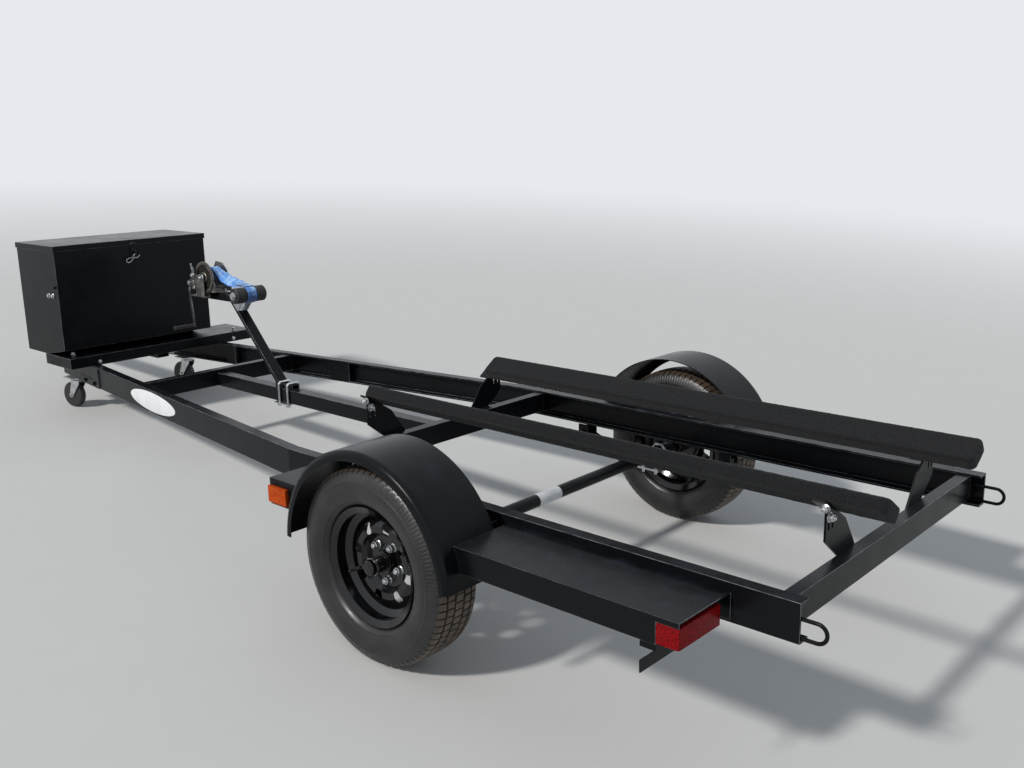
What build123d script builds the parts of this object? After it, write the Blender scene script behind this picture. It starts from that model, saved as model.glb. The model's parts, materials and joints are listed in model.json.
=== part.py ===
# Small single-axle boat trailer: two channel rails, carpeted bunks, leaf-sprung axle, steel
# fenders and steps, winch post with bow rollers, a tool box on a front platform, and two casters
# under the front ends of the rails, on which the trailer stands nose-down when it is parked.
#
# Every piece is drawn with the rails level: +X forward, +Y to the left, +Z up, axle line at
# x = 0 and the ground under the wheels at z = 0. The finished trailer is then turned about the
# axle line until the casters touch the ground, and moved so that its origin is the middle of its
# bounding box at ground level. Lengths are in millimetres, angles in degrees.
from build123d import *
from math import acos, atan2, cos, degrees, hypot, pi, radians, sin, sqrt, tan
import os

# Gaps: between pieces that turn on each other, and between pieces that only lie together
running_gap = 0.05
piece_gap = 0.3

# Tyres
tyre_radius = 300.0
tyre_width = 177.0
tread_width = 136.0
tyre_widest_radius = 240.0
track = 1562.0

# Rims
rim_flange_radius = 181.0
rim_flange_run = 10.0
bead_radius = 165.0
bead_seat = 28.0
rim_width = 128.0
rim_wall = 3.5
rim_well_radius = 146.0
well_slope = 12.0
disc_wall = 4.0
disc_flat_radius = 78.0
ridge_height = 22.0
ridge_inner_radius = 92.0
ridge_outer_radius = 112.0
disc_edge = 5.0
window_count = 8
window_phase = 12.0
window_radius = 107.5
window_height = 33.0
window_width = 36.0
window_taper = 81.4
window_corner = 5.0

# Hubs
bolt_circle = 114.3
lug_count = 5
lug_phase = 49.0
lug_hole_radius = 7.0
lug_nut_across = 21.0
lug_nut_height = 17.0
lug_tip_height = 8.0
lug_tip_across = 11.0
pilot_radius = 42.0
hub_radius = 35.0
hub_reach_out = 19.0
hub_reach_in = 70.0
hub_flange_radius = 70.0
hub_flange_wall = 9.0
cap_radius = 25.0
cap_reach = 76.0

# Axle
spindle_radius = 17.0
spindle_reach = 14.0
axle_radius = 22.0
axle_inset = 95.0
seat_length = 60.0

# Rails: channels with the web outside and the flanges inward
rail_height = 102.0
rail_flange = 41.0
rail_web = 5.0
rail_flange_wall = 7.0
rail_top = 467.0
rail_half_width = 605.0
rail_rear = -1214.0
rail_front = 3015.0
bend_x = 705.0
toe_in = 7.2
stiffener_wall = 5.0
stiffeners = ((1660.0, 1790.0), (2460.0, 2530.0))
gusset_wall = 6.0
gusset_rear = 2513.0
gusset_front = 2785.0
gusset_height = 31.0
gusset_upright = 67.0
gusset_top_inset = 5.0

# Crossmembers, keel and tongue: rectangular tubes
cross_height = 76.0
cross_depth = 38.0
cross_wall = 3.0
cross_rear_x = -1162.0
cross_bunk_x = 564.0
cross_front_x = 2069.0
keel_width = 50.0
keel_height = 60.0
tube_wall = 3.0
tongue_size = 64.0
tongue_front = 3760.0

# Ball coupler at the end of the tongue
ball_diameter = 50.8
ball_gap = 0.4
coupler_wall = 4.0
coupler_overlap = 115.0
socket_reach = 88.0
socket_depth = 28.0
dome_chamfer = 9.0
latch_width = 18.0
latch_height = 12.0
latch_rear = 60.0
latch_front = 68.0

# Platform over the rails that carries the tool box
platform_rear = 2572.0
platform_front = 2825.0
platform_left = 478.0
platform_right = -530.0
platform_height = 50.0
platform_wall = 5.0
end_hole_radius = 5.0
end_hole_rise = 14.0
end_hole_x = (2643.0, 2768.0)

# Tool box
box_rear = 2620.0
box_depth = 388.0
box_left = 477.0
box_width = 786.0
box_height = 523.0
box_wall = 2.5
box_rim = 20.0
box_heel_rise = 33.0
box_heel_run = 190.0
lid_lip = 26.0
lid_gap = 2.0
hinge_pin_radius = 3.0
hinge_knuckle_radius = 7.0
hinge_knuckle = 40.0
hinge_side_knuckle = 28.0
hinge_leaf_wall = 2.5
hinge_leaf_drop = 36.0
hinge_spacing = 480.0
hasp_width = 26.0
hasp_low = 967.0
hasp_slot = 16.0
hasp_slot_height = 27.0
staple_wall = 6.0
staple_reach = 16.0
clip_radius = 2.0
clip_points = ((-4, 983), (-25, 948), (36, 930))

# Winch post on the keel: a channel with its web to the rear
post_width = 49.0
post_depth = 15.0
post_wall = 5.0
post_lean = 43.16
post_foot_x = 1565.3
post_top_z = 829.0
foot_rear = 1478.0
foot_front = 1600.0
foot_width = 38.0
foot_height = 20.0
u_bolt_radius = 5.5
u_bolt_rear = 1498.0
u_bolt_front = 1558.0
u_bolt_tail = 7.0
u_bolt_cut = 8.0
clamp_wall = 5.0
clamp_margin = 13.0
arm_height = 36.0
arm_front = 2145.0

# Winch: places are given from the arm's front end and top, outlines from the drum's axis
drum_back = 95.0
drum_rise = 68.0
drum_core_radius = 15.0
drum_flange_radius = 55.0
drum_flange_wall = 3.0
drum_half_width = 41.5
gear_radius = 72.5
gear_teeth = 40
gear_width = 8.0
gear_y = 47.0
pinion_radius = 15.5
pinion_teeth = 10
pinion_ahead = 80.0
mesh_depth = 3.5
tooth_depth_share = 0.45
tooth_tip = (0.22, 0.48)
tooth_root = 0.70
shaft_radius = 8.0
winch_plate_y = 42.0
winch_plate_wall = 4.0
support_y = 61.0
winch_base_wall = 4.0
winch_strip_rise = -91.0
winch_strip_wall = 5.0
winch_strip_span = (-23.0, 104.0)
far_plate = ((-58, -68), (90, -68), (90, 3), (46, 63), (-10, 58), (-72, -35))
near_plate = ((-23, -91), (90, -91), (90, 3), (46, 63), (-10, 58), (-72, -35), (-58, -68), (-23, -68))
support_plate = ((-9, -91), (46, -91), (46, -39), (62, -42), (97, -40), (98, -12), (84, 2), (-11, 19))
crank_gap = 12.0
crank_width = 16.0
crank_wall = 5.0
crank_bend = (-12.0, 14.0, -40.0)
crank_end = (-30.0, 14.0, -216.0)
crank_grip_length = 106.0
crank_grip_radius = 14.0

# Strap from the drum over the bow rollers' pin
strap_width = 48.0
strap_wall = 3.0
strap_roll_radius = 44.0
strap_sag_back = 165.0
strap_sag_drop = 20.0
strap_bend_radius = 60.0

# Bow rollers in a folded fork on the post's web, placed from the post's top
roller_back = 120.6
roller_rise = 6.0
roller_radius = 35.0
roller_width = 48.0
roller_spread = 52.5
roller_chamfer = 5.0
roller_pin_radius = 8.0
roller_washer_radius = 18.0
roller_washer_wall = 3.0
roller_head_across = 22.0
roller_head_height = 8.0
fork_wall = 3.0
fork_low_z = 757.0
fork_high_z = 810.0
fork_boss_radius = 15.0
sleeve_radius = 34.7

# Leaf springs
spring_y = 583.0
spring_width = 45.0
spring_half_length = 325.0
spring_leaf = 7.0
spring_leaves = 3
leaf_step = 0.27
spring_seat = 6.0
eye_radius = 17.0
eye_bolt_radius = 8.0
eye_bolt_end = 8.0
eye_drop = 27.0
hanger_wall = 6.0
hanger_length = 48.0
hanger_tail = 14.0
axle_plate_length = 96.0
axle_plate_width = 84.0
axle_plate_wall = 8.0
axle_bolt_radius = 6.0
axle_bolt_y = 30.0
axle_bolt_tail = 14.0

# Fenders, steps and lamps
fender_radius = 355.0
fender_x = 0.0
fender_z = 300.0
fender_inner_y = 668.0
fender_width = 218.0
fender_wall = 3.0
fender_lip = 30.0
fender_corner = 18.0
fender_front_angle = 4.0
fender_rear_angle = 176.0
step_front = -290.0
step_rear = -1036.0
step_outer_y = 828.0
step_top = 445.0
step_height = 72.0
step_wall = 3.0
lamp_width = 175.0
lamp_height = 54.0
lamp_depth = 63.0
lamp_drop = 15.0
lamp_corner = 8.0
marker_rear = 400.0
marker_front = 540.0
marker_outer_y = 800.0
marker_top = 449.0
marker_height = 88.0
lens_length = 92.0
lens_height = 54.0
lens_wall = 12.0
lens_inset = 4.0
lens_drop = 6.0
plate_bar_inner_y = 740.0
plate_bar_outer_y = 886.0
plate_bar_height = 31.0
plate_bar_wall = 3.0
plate_bar_drop = 14.0
plate_ear_width = 45.0
plate_ear_rise = 27.0

# Bunks
bunk_front = 580.0
bunk_rear = -1255.0
bunk_width = 93.0
bunk_wall = 43.5
bunk_edge = 8.0
bunk_corner = 20.0
bunk_tilt = 34.0
bunk_y = 293.0
bunk_z = 614.0
bracket_wall = 6.0
bracket_shelf = 44.0
bracket_foot_y = (130.0, 200.0)
bracket_foot_rise = 16.0
bracket_inner_reach = 85.0
bracket_outer_reach = 48.0
bracket_outer_low = 515.0
slot_spacing = 22.0
slot_length = 26.0
slot_width = 9.0
slot_drop = 48.0
bracket_hole_radius = 9.0
bracket_hole_rise = 62.0

# Tie-down loops at the rear ends of the rails
loop_rod_radius = 5.0
loop_reach = 66.0
loop_height = 58.0

# Casters under the front ends of the rails
caster_x = 2880.0
caster_wheel_radius = 63.5
caster_wheel_width = 32.0
caster_wheel_chamfer = 4.0
caster_height = 159.0
caster_trail = 34.0
caster_turn = 14.5
caster_plate = 100.0
caster_plate_wall = 6.0
raceway_radius = 26.0
raceway_height = 10.0
kingpin_radius = 7.0
kingpin_length = 14.0
caster_crown_radius = 28.0
caster_fork_wall = 4.0
caster_gap = 3.0
caster_bolt_radius = 5.0
caster_bolt_end = 8.0
leg_top_half = 26.0
leg_shoulder = 18.0
leg_low_half = 13.0

# Worked out from the sizes above
half_track = track / 2
rail_bottom = rail_top - rail_height
cross_top = rail_top - rail_flange_wall
cross_bottom = cross_top - cross_height
keel_top = cross_bottom + keel_height
foot_top = keel_top + foot_height
platform_top = rail_top + platform_height
tongue_mid_z = platform_top - platform_wall - tongue_size / 2
box_front = box_rear + box_depth
box_right = box_left - box_width
box_mid_y = (box_left + box_right) / 2
box_bottom = platform_top
box_top = box_bottom + box_height
bend_slope = tan(radians(toe_in))
caster_axle_z = caster_wheel_radius - caster_height
arm_width = post_width - 2 * post_wall
post_top_x = post_foot_x + (post_top_z - foot_top) * tan(radians(post_lean))
drum_x = arm_front - drum_back
drum_z = post_top_z + drum_rise
pinion_x = drum_x + pinion_ahead
roller_x = post_top_x - roller_back
roller_z = post_top_z + roller_rise


def rail_y(x, inset=0.0):
    """Distance from the centre line to the rail's outer face at x, less a square inset."""
    if x <= bend_x - inset * tan(radians(toe_in / 2)):
        return rail_half_width - inset
    return rail_half_width - (x - bend_x) * bend_slope - inset / cos(radians(toe_in))


def box_between(x0, x1, y0, y1, z0, z1):
    """Block between two corners."""
    return Pos((x0 + x1) / 2, (y0 + y1) / 2, (z0 + z1) / 2) * Box(abs(x1 - x0), abs(y1 - y0), abs(z1 - z0))


def round_y(radius, y0, y1, x, z):
    """Cylinder along Y between y0 and y1."""
    return Pos(x, (y0 + y1) / 2, z) * Rot(90, 0, 0) * Cylinder(radius, abs(y1 - y0))


def tube_x(x0, x1, width, height, z_mid, wall):
    """Square or rectangular tube along X on the centre line."""
    outer = box_between(x0, x1, -width / 2, width / 2, z_mid - height / 2, z_mid + height / 2)
    bore = box_between(x0 - 1, x1 + 1, wall - width / 2, width / 2 - wall,
                       z_mid - height / 2 + wall, z_mid + height / 2 - wall)
    return outer - bore


def plate(points, plane, depth):
    """Flat plate whose outline is a closed polygon on the plane."""
    return extrude(plane * make_face(Polyline(*points, close=True)), depth)


def side_plate(points, y0, y1):
    """Plate drawn in side view, in x and z, between two distances from the centre line."""
    return plate(points, Plane.XZ.offset(-max(y0, y1)), abs(y1 - y0))


def polar(radius, angle):
    """Side-view place at a radius and an angle in degrees, measured up from +X."""
    return radius * cos(radians(angle)), radius * sin(radians(angle))


def rod(points, radius, **corners):
    """Round bar along a route of straight runs, mitred at the corners."""
    route = Polyline(*points)
    section = Plane(origin=points[0], z_dir=Vector(*points[1]) - Vector(*points[0])) * Circle(radius)
    return sweep(section, path=route, transition=Transition.RIGHT)


def mirrored(shape):
    return mirror(shape, about=Plane.XZ)


def group(shapes):
    """Separate solids that share one node."""
    return Compound([solid for shape in shapes for solid in shape.solids()])


def both_sides(shape):
    return group([shape, mirrored(shape)])


def rail_strip(x_rear, x_front, inset0, inset1, z0, z1):
    """Straight or mitred strip that follows the left rail, between two insets from its outer face."""
    edges = []
    for inset in (inset0, inset1):
        bend = bend_x - inset * tan(radians(toe_in / 2))
        xs = [x_rear, bend, x_front] if x_rear < bend < x_front else [x_rear, x_front]
        edges.append([(x, rail_y(x, inset)) for x in xs])
    return plate(edges[0] + edges[1][::-1], Plane.XY.offset(z0), z1 - z0)


def rail():
    """Left rail: a mitred channel with stiffeners across its open side and a gusset on its web."""
    web = rail_strip(rail_rear, rail_front, 0, rail_web, rail_bottom, rail_top)
    lower = rail_strip(rail_rear, rail_front, 0, rail_flange, rail_bottom, rail_bottom + rail_flange_wall)
    upper = rail_strip(rail_rear, rail_front, 0, rail_flange, rail_top - rail_flange_wall, rail_top)
    channel = web + lower + upper
    for x0, x1 in stiffeners:
        channel += rail_strip(x0, x1, rail_flange - stiffener_wall, rail_flange, rail_bottom, rail_top)
    channel += rail_strip(gusset_rear, gusset_front, -gusset_wall, 0, rail_bottom, rail_bottom + gusset_height)
    return channel + rail_strip(gusset_rear, gusset_rear + gusset_upright, -gusset_wall, 0,
                                rail_bottom, rail_top - gusset_top_inset)


def crossmembers():
    """Three tubes between the webs of the rails, cut to the rails' angle."""
    pieces = []
    for x in (cross_rear_x, cross_bunk_x, cross_front_x):
        x0 = x - cross_depth / 2
        x1 = x + cross_depth / 2
        reach0 = rail_y(x0, rail_web)
        reach1 = rail_y(x1, rail_web)
        outline = [(x0, reach0), (x1, reach1), (x1, -reach1), (x0, -reach0)]
        outer = plate(outline, Plane.XY.offset(cross_bottom), cross_height)
        bore = box_between(x0 + cross_wall, x1 - cross_wall, -rail_half_width, rail_half_width,
                           cross_bottom + cross_wall, cross_top - cross_wall)
        pieces.append(outer - bore)
    return group(pieces)


def keel():
    return tube_x(cross_bunk_x + cross_depth / 2, cross_front_x - cross_depth / 2,
                  keel_width, keel_height, keel_top - keel_height / 2, tube_wall)


def tongue():
    return tube_x(platform_rear + platform_wall, tongue_front, tongue_size, tongue_size,
                  tongue_mid_z, tube_wall)


def socket_x():
    return tongue_front + socket_reach


def coupler():
    """Pressed coupler: a channel over the tongue that ends in a ball socket under a domed nose."""
    half = tongue_size / 2 + coupler_wall
    low = tongue_mid_z - tongue_size / 2
    top = tongue_mid_z + half
    ball = ball_diameter / 2 + ball_gap
    nose = ball + coupler_wall
    shell = box_between(tongue_front - coupler_overlap, tongue_front, -half, half, low, top)
    shell -= box_between(tongue_front - coupler_overlap - 1, tongue_front + 1, -tongue_size / 2,
                         tongue_size / 2, low - 1, tongue_mid_z + tongue_size / 2)
    bridge = box_between(tongue_front, socket_x(), -nose, nose, tongue_mid_z, top)
    profile = [(0, -socket_depth), (nose, -socket_depth), (nose, top - tongue_mid_z - dome_chamfer),
               (nose - dome_chamfer, top - tongue_mid_z), (0, top - tongue_mid_z)]
    socket = revolve(Plane.XZ * make_face(Polyline(*profile, close=True)), Axis.Z)
    bore = Sphere(ball) + Pos(0, 0, -socket_depth / 2 - 1) * Cylinder(ball, socket_depth + 2)
    place = Pos(socket_x(), 0, tongue_mid_z)
    latch = box_between(tongue_front - latch_rear, tongue_front + latch_front,
                        -latch_width / 2, latch_width / 2, top, top + latch_height)
    return shell + (bridge + place * socket - place * bore) + latch


def platform():
    """Folded steel tray, open below, on the rails' top flanges, with two holes in each end."""
    w = platform_wall
    tray = box_between(platform_rear, platform_front, platform_right, platform_left, rail_top, platform_top)
    tray -= box_between(platform_rear + w, platform_front - w, platform_right + w, platform_left - w,
                        rail_top - 1, platform_top - w)
    tray -= box_between(platform_rear + w, platform_front + 1, -tongue_size / 2, tongue_size / 2,
                        rail_top - 1, platform_top - w)
    for x in end_hole_x:
        tray -= round_y(end_hole_radius, platform_right - 1, platform_left + 1, x, rail_top + end_hole_rise)
    return tray


def toolbox_body():
    """Sheet-steel box with a folded rim; its floor rises to a heel at the rear."""
    def side(inset):
        z0 = box_bottom + inset
        top = box_top + 1 if inset else box_top
        heel = box_rear + box_heel_run
        return [(box_rear + inset, z0 + box_heel_rise), (heel, z0), (box_front - inset, z0),
                (box_front - inset, top), (box_rear + inset, top)]
    outer = side_plate(side(0), box_right, box_left)
    hollow = side_plate(side(box_wall), box_right + box_wall, box_left - box_wall)
    rim_outer = box_between(box_rear, box_front, box_right, box_left, box_top - box_wall, box_top)
    rim_hole = box_between(box_rear + box_rim, box_front - box_rim, box_right + box_rim,
                           box_left - box_rim, box_top - box_rim, box_top + 1)
    return (outer - hollow) + (rim_outer - rim_hole)


def lid_sizes():
    reach = lid_gap + box_wall
    return box_rear - reach, box_front + reach, box_right - reach, box_left + reach


def lid_top():
    return box_top + lid_gap / 2 + box_wall


def hinge_line():
    _, x1, _, _ = lid_sizes()
    return x1 + hinge_knuckle_radius + piece_gap, lid_top() - lid_lip


def hinge_places():
    return box_mid_y - hinge_spacing / 2, box_mid_y + hinge_spacing / 2


def toolbox_lid():
    """Lid with a lip all round, two hinge leaves in front and a slotted hasp behind."""
    x0, x1, y0, y1 = lid_sizes()
    top = lid_top()
    lid = box_between(x0, x1, y0, y1, top - lid_lip, top)
    lid -= box_between(x0 + box_wall, x1 - box_wall, y0 + box_wall, y1 - box_wall,
                       top - lid_lip - 1, top - box_wall)
    hx, hz = hinge_line()
    half = hinge_knuckle / 2
    for y in hinge_places():
        lid += round_y(hinge_knuckle_radius, y - half, y + half, hx, hz)
        lid += box_between(x1, x1 + hinge_leaf_wall, y - half, y + half, hz, top - box_wall)
        lid -= round_y(hinge_pin_radius + running_gap, y - half - 1, y + half + 1, hx, hz)
    hasp = box_between(x0 - box_wall, x0, box_mid_y - hasp_width / 2, box_mid_y + hasp_width / 2,
                       hasp_low, top - lid_lip + hasp_slot_height / 3)
    hasp -= box_between(x0 - box_wall - 1, x0 + 1, box_mid_y - hasp_slot / 2, box_mid_y + hasp_slot / 2,
                        hasp_low - 1, hasp_low + hasp_slot_height)
    return lid + hasp


def toolbox_hinge():
    """Fixed hinge leaves, outer knuckles and pins on the box's front face."""
    hx, hz = hinge_line()
    low = hz - hinge_knuckle_radius
    parts = []
    for y in hinge_places():
        inner = hinge_knuckle / 2 + piece_gap
        outer = inner + hinge_side_knuckle
        body = round_y(hinge_pin_radius, y - outer, y + outer, hx, hz)
        for side in (-1, 1):
            y0, y1 = y + side * inner, y + side * outer
            body += round_y(hinge_knuckle_radius, y0, y1, hx, hz)
            body += box_between(box_front, hx, y0, y1, low, low + hinge_leaf_wall)
            body += box_between(box_front, box_front + hinge_leaf_wall, y0, y1,
                                hz - hinge_leaf_drop, low + hinge_leaf_wall)
        parts.append(body)
    return group(parts)


def toolbox_staple():
    """Staple that stands through the hasp's slot, with a bent wire clip through it."""
    x0, _, _, _ = lid_sizes()
    z = hasp_low + hasp_slot_height / 2
    base = box_between(box_rear - 2, box_rear, box_mid_y - hasp_slot, box_mid_y + hasp_slot, z - 38, z + 8)
    eye = box_between(x0 - staple_reach, box_rear, box_mid_y - staple_wall / 2,
                      box_mid_y + staple_wall / 2, z - 6, z + 6)
    clip = rod([(x0 - staple_reach + 4, box_mid_y + dy, z1) for dy, z1 in clip_points], clip_radius)
    return base + eye + clip


def post_at(z, depth=0.0):
    """Side-view x of the leaning post's web at height z, or of a line at a depth in front of it."""
    lean = radians(post_lean)
    return post_foot_x + (z - foot_top) * tan(lean) + depth / cos(lean)


def winch_post():
    """Leaning channel on a foot tube, with a level arm that carries the winch."""
    def side(depth0, depth1, z0, z1):
        return [(post_at(z0, depth0), z0), (post_at(z1, depth0), z1),
                (post_at(z1, depth1), z1), (post_at(z0, depth1), z0)]
    half = post_width / 2
    post = side_plate(side(0, post_depth, foot_top, post_top_z), -half, half)
    post -= side_plate(side(post_wall, post_depth + 1, foot_top - 1, post_top_z + 1),
                       post_wall - half, half - post_wall)
    foot = tube_x(foot_rear, foot_front, foot_width, foot_height, keel_top + foot_height / 2, tube_wall)

    def arm_side(inset, front):
        z0, z1 = post_top_z - arm_height + inset, post_top_z - inset
        return [(post_at(z0, post_wall), z0), (front, z0), (front, z1), (post_at(z1, post_wall), z1)]
    width = arm_width / 2
    arm = side_plate(arm_side(0, arm_front), -width, width)
    arm -= side_plate(arm_side(tube_wall, arm_front + 1), tube_wall - width, width - tube_wall)
    return post + foot + arm


def u_bolt(along, across, low, top, radius, cut, lengthwise):
    """Bent bolt with its legs at +-across; lengthwise puts them ahead and behind, not left and right."""
    outline = [(across, low), (across, top - cut), (across - cut, top),
               (cut - across, top), (-across, top - cut), (-across, low)]
    if lengthwise:
        return rod([(u, along, z) for u, z in outline], radius)
    return rod([(along, u, z) for u, z in outline], radius)


def post_clamps():
    """Two U-bolts over foot and keel, and the plate below the keel."""
    reach = keel_width / 2 + u_bolt_radius + piece_gap
    low = keel_top - keel_height
    clamp = box_between(u_bolt_rear - clamp_margin, u_bolt_front + clamp_margin * 2,
                        -reach - clamp_margin, reach + clamp_margin, low - clamp_wall, low)
    for x in (u_bolt_rear, u_bolt_front):
        clamp += u_bolt(x, reach, low - clamp_wall - u_bolt_tail, foot_top + u_bolt_radius + piece_gap,
                        u_bolt_radius, u_bolt_cut, lengthwise=False)
    return clamp


def gear(radius, teeth, width, y0, x, z, turn):
    """Spur gear seen from the side: a disc with straight-flanked teeth, turned by an angle."""
    depth = 2 * pi * radius / teeth * tooth_depth_share
    corners = ((0.0, radius - depth), (tooth_tip[0], radius), (tooth_tip[1], radius), (tooth_root, radius - depth))
    outline = [polar(r, turn + 360 * (i + share) / teeth) for i in range(teeth) for share, r in corners]
    return Pos(x, 0, z) * side_plate(outline, y0, y0 + width)


def pinion_z():
    """Height of the pinion's shaft, from the distance at which the two gears mesh."""
    return drum_z - sqrt((gear_radius + pinion_radius - mesh_depth) ** 2 - pinion_ahead ** 2)


def mesh_turns():
    """Turns of gear and pinion that put a tooth of the pinion in a gap of the gear."""
    line = degrees(atan2(pinion_z() - drum_z, pinion_ahead))
    gap_middle = (1 + tooth_root) / 2
    tooth_middle = (tooth_tip[0] + tooth_tip[1]) / 2
    return line - 360 * gap_middle / gear_teeth, line + 180 - 360 * tooth_middle / pinion_teeth


def winch_side(points, y0):
    """Winch plate from an outline round the drum's axis, with bores for both shafts."""
    outline = [(drum_x + dx, drum_z + dz) for dx, dz in points]
    side = side_plate(outline, y0, y0 + winch_plate_wall)
    for x, z in ((drum_x, drum_z), (pinion_x, pinion_z())):
        side -= round_y(shaft_radius + running_gap, y0 - 1, y0 + winch_plate_wall + 1, x, z)
    return side


def winch_frame():
    """Plates on both sides of the drum and an outer one beyond the gear, on a base and a strip."""
    y0, y1 = winch_plate_y, winch_plate_y + winch_plate_wall
    plates = winch_side(near_plate, y0) + winch_side(far_plate, -y1) + winch_side(support_plate, support_y)
    base = box_between(drum_x + far_plate[0][0], drum_x + far_plate[1][0], -y1, y1,
                       post_top_z, post_top_z + winch_base_wall)
    low = drum_z + winch_strip_rise
    strip = box_between(drum_x + winch_strip_span[0], drum_x + winch_strip_span[1], y0,
                        support_y + winch_plate_wall, low, low + winch_strip_wall)
    return plates + base + strip


def winch_drum():
    """Drum's core and flanges, with its shaft in the far plate."""
    core = round_y(drum_core_radius, -drum_half_width, drum_half_width, drum_x, drum_z)
    for y in (-drum_half_width, drum_half_width - drum_flange_wall):
        core += round_y(drum_flange_radius, y, y + drum_flange_wall, drum_x, drum_z)
    return core + round_y(shaft_radius, -winch_plate_y - winch_plate_wall, 0, drum_x, drum_z)


def winch_gear():
    """Large gear with its shaft through the near and the outer plate."""
    turn, _ = mesh_turns()
    big = gear(gear_radius, gear_teeth, gear_width, gear_y, drum_x, drum_z, turn)
    end = support_y + winch_plate_wall + shaft_radius
    return big + round_y(shaft_radius, drum_half_width + piece_gap, end, drum_x, drum_z)


def winch_crank():
    """Pinion on its shaft, bent arm and grip, hanging down."""
    z = pinion_z()
    y1 = support_y + winch_plate_wall + crank_gap
    _, turn = mesh_turns()
    pinion = gear(pinion_radius, pinion_teeth, gear_width, gear_y, pinion_x, z, turn)
    shaft = round_y(shaft_radius, winch_plate_y, y1 + crank_wall, pinion_x, z)
    start = Vector(pinion_x, y1, z + crank_width / 2)
    bend = start + Vector(*crank_bend)
    end = start + Vector(*crank_end)
    section = Plane(origin=start, x_dir=(0, 1, 0), z_dir=bend - start) * Rectangle(crank_wall, crank_width)
    arm = sweep(section, path=Polyline(start, bend, end), transition=Transition.RIGHT)
    grip = round_y(crank_grip_radius, end.Y, end.Y + crank_grip_length, end.X, end.Z + crank_grip_radius)
    return pinion + shaft + arm + grip


def winch_strap():
    """Wound strap on the drum, its free run, and its end looped round the sleeve between the rollers."""
    half = strap_width / 2
    roll = round_y(strap_roll_radius, -half, half, drum_x, drum_z)
    roll -= round_y(drum_core_radius + piece_gap, -half - 1, half + 1, drum_x, drum_z)
    inner = sleeve_radius + piece_gap
    outer = inner + strap_wall
    leave = radians(post_lean)
    mid_wall = strap_roll_radius - strap_wall / 2
    start = (drum_x - mid_wall * sin(leave / 2), drum_z + mid_wall * cos(leave / 2))
    sag = (drum_x - strap_sag_back, drum_z - strap_sag_drop)
    over = (roller_x, roller_z + inner + strap_wall / 2)
    run = trace(FilletPolyline(start, sag, over, radius=strap_bend_radius), strap_wall)
    behind = Pos(-outer / 2, 0) * Rectangle(outer, 2 * outer)
    loop = Pos(roller_x, roller_z) * ((Circle(outer) - Circle(inner)) & behind)
    return roll + extrude(Plane.XZ.offset(-half) * (run + loop), strap_width)


def roller_bracket():
    """Galvanized fork: a base on the post's web, two ears, a sleeve between them, and the rollers' pin."""
    lean = radians(post_lean)
    half = post_width / 2
    low = (post_at(fork_low_z), fork_low_z)
    high = (post_at(fork_high_z), fork_high_z)
    mid = ((low[0] + high[0]) / 2, (low[1] + high[1]) / 2)
    away = (roller_x - mid[0], roller_z - mid[1])
    reach = hypot(*away)
    side = (-away[1] / reach * fork_boss_radius, away[0] / reach * fork_boss_radius)
    ear_outline = [low, high, (roller_x - side[0], roller_z - side[1]), (roller_x + side[0], roller_z + side[1])]
    back = (-fork_wall * cos(lean), fork_wall * sin(lean))
    base_outline = [low, high, (high[0] + back[0], high[1] + back[1]), (low[0] + back[0], low[1] + back[1])]
    fork = side_plate(base_outline, -half, half)
    end = roller_spread + roller_width / 2 + piece_gap
    for s in (-1, 1):
        fork += side_plate(ear_outline, s * half, s * (half + fork_wall))
        fork += round_y(fork_boss_radius, s * half, s * (half + fork_wall), roller_x, roller_z)
        fork += round_y(roller_washer_radius, s * end, s * (end + roller_washer_wall), roller_x, roller_z)
        head = RegularPolygon(roller_head_across / 2, 6, major_radius=False)
        face = end + roller_washer_wall + (roller_head_height if s > 0 else 0)
        fork += Pos(roller_x, s * face, roller_z) * extrude(Plane.XZ * head, roller_head_height)
    fork += round_y(sleeve_radius, piece_gap - half, half - piece_gap, roller_x, roller_z)
    return fork + round_y(roller_pin_radius, -end, end, roller_x, roller_z)


def bow_roller():
    """Left bow roller: a rubber wheel with bevelled shoulders."""
    y0 = roller_spread - roller_width / 2
    y1 = roller_spread + roller_width / 2
    c = roller_chamfer
    bore = roller_pin_radius + running_gap
    profile = [(bore, y0), (roller_radius - c, y0), (roller_radius, y0 + c), (roller_radius, y1 - c),
               (roller_radius - c, y1), (bore, y1)]
    wheel = revolve(Plane.XY * make_face(Polyline(*profile, close=True)), Axis.Y)
    return Pos(roller_x, 0, roller_z) * wheel


def axle():
    """Straight round axle with a stepped spindle at each end and a seat on each spring."""
    z = tyre_radius
    tube = round_y(axle_radius, axle_inset - half_track, half_track - axle_inset, 0, z)
    spindle = round_y(spindle_radius, -half_track - spindle_reach, half_track + spindle_reach, 0, z)
    seat_z, bow = spring_bow()
    for y in (-spring_y, spring_y):
        seat = box_between(-seat_length / 2, seat_length / 2, y - spring_width / 2, y + spring_width / 2,
                           seat_z, z)
        tube += seat & round_y(bow, y - spring_width, y + spring_width, 0, seat_z + bow)
    return tube + spindle


def spring_bow():
    """Height of the main leaf's seat and the radius of its upper face, whose centre is above."""
    seat_z = tyre_radius - axle_radius - spring_seat
    rise = rail_bottom - eye_drop - seat_z
    return seat_z, (spring_half_length ** 2 + rise ** 2) / (2 * rise)


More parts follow.
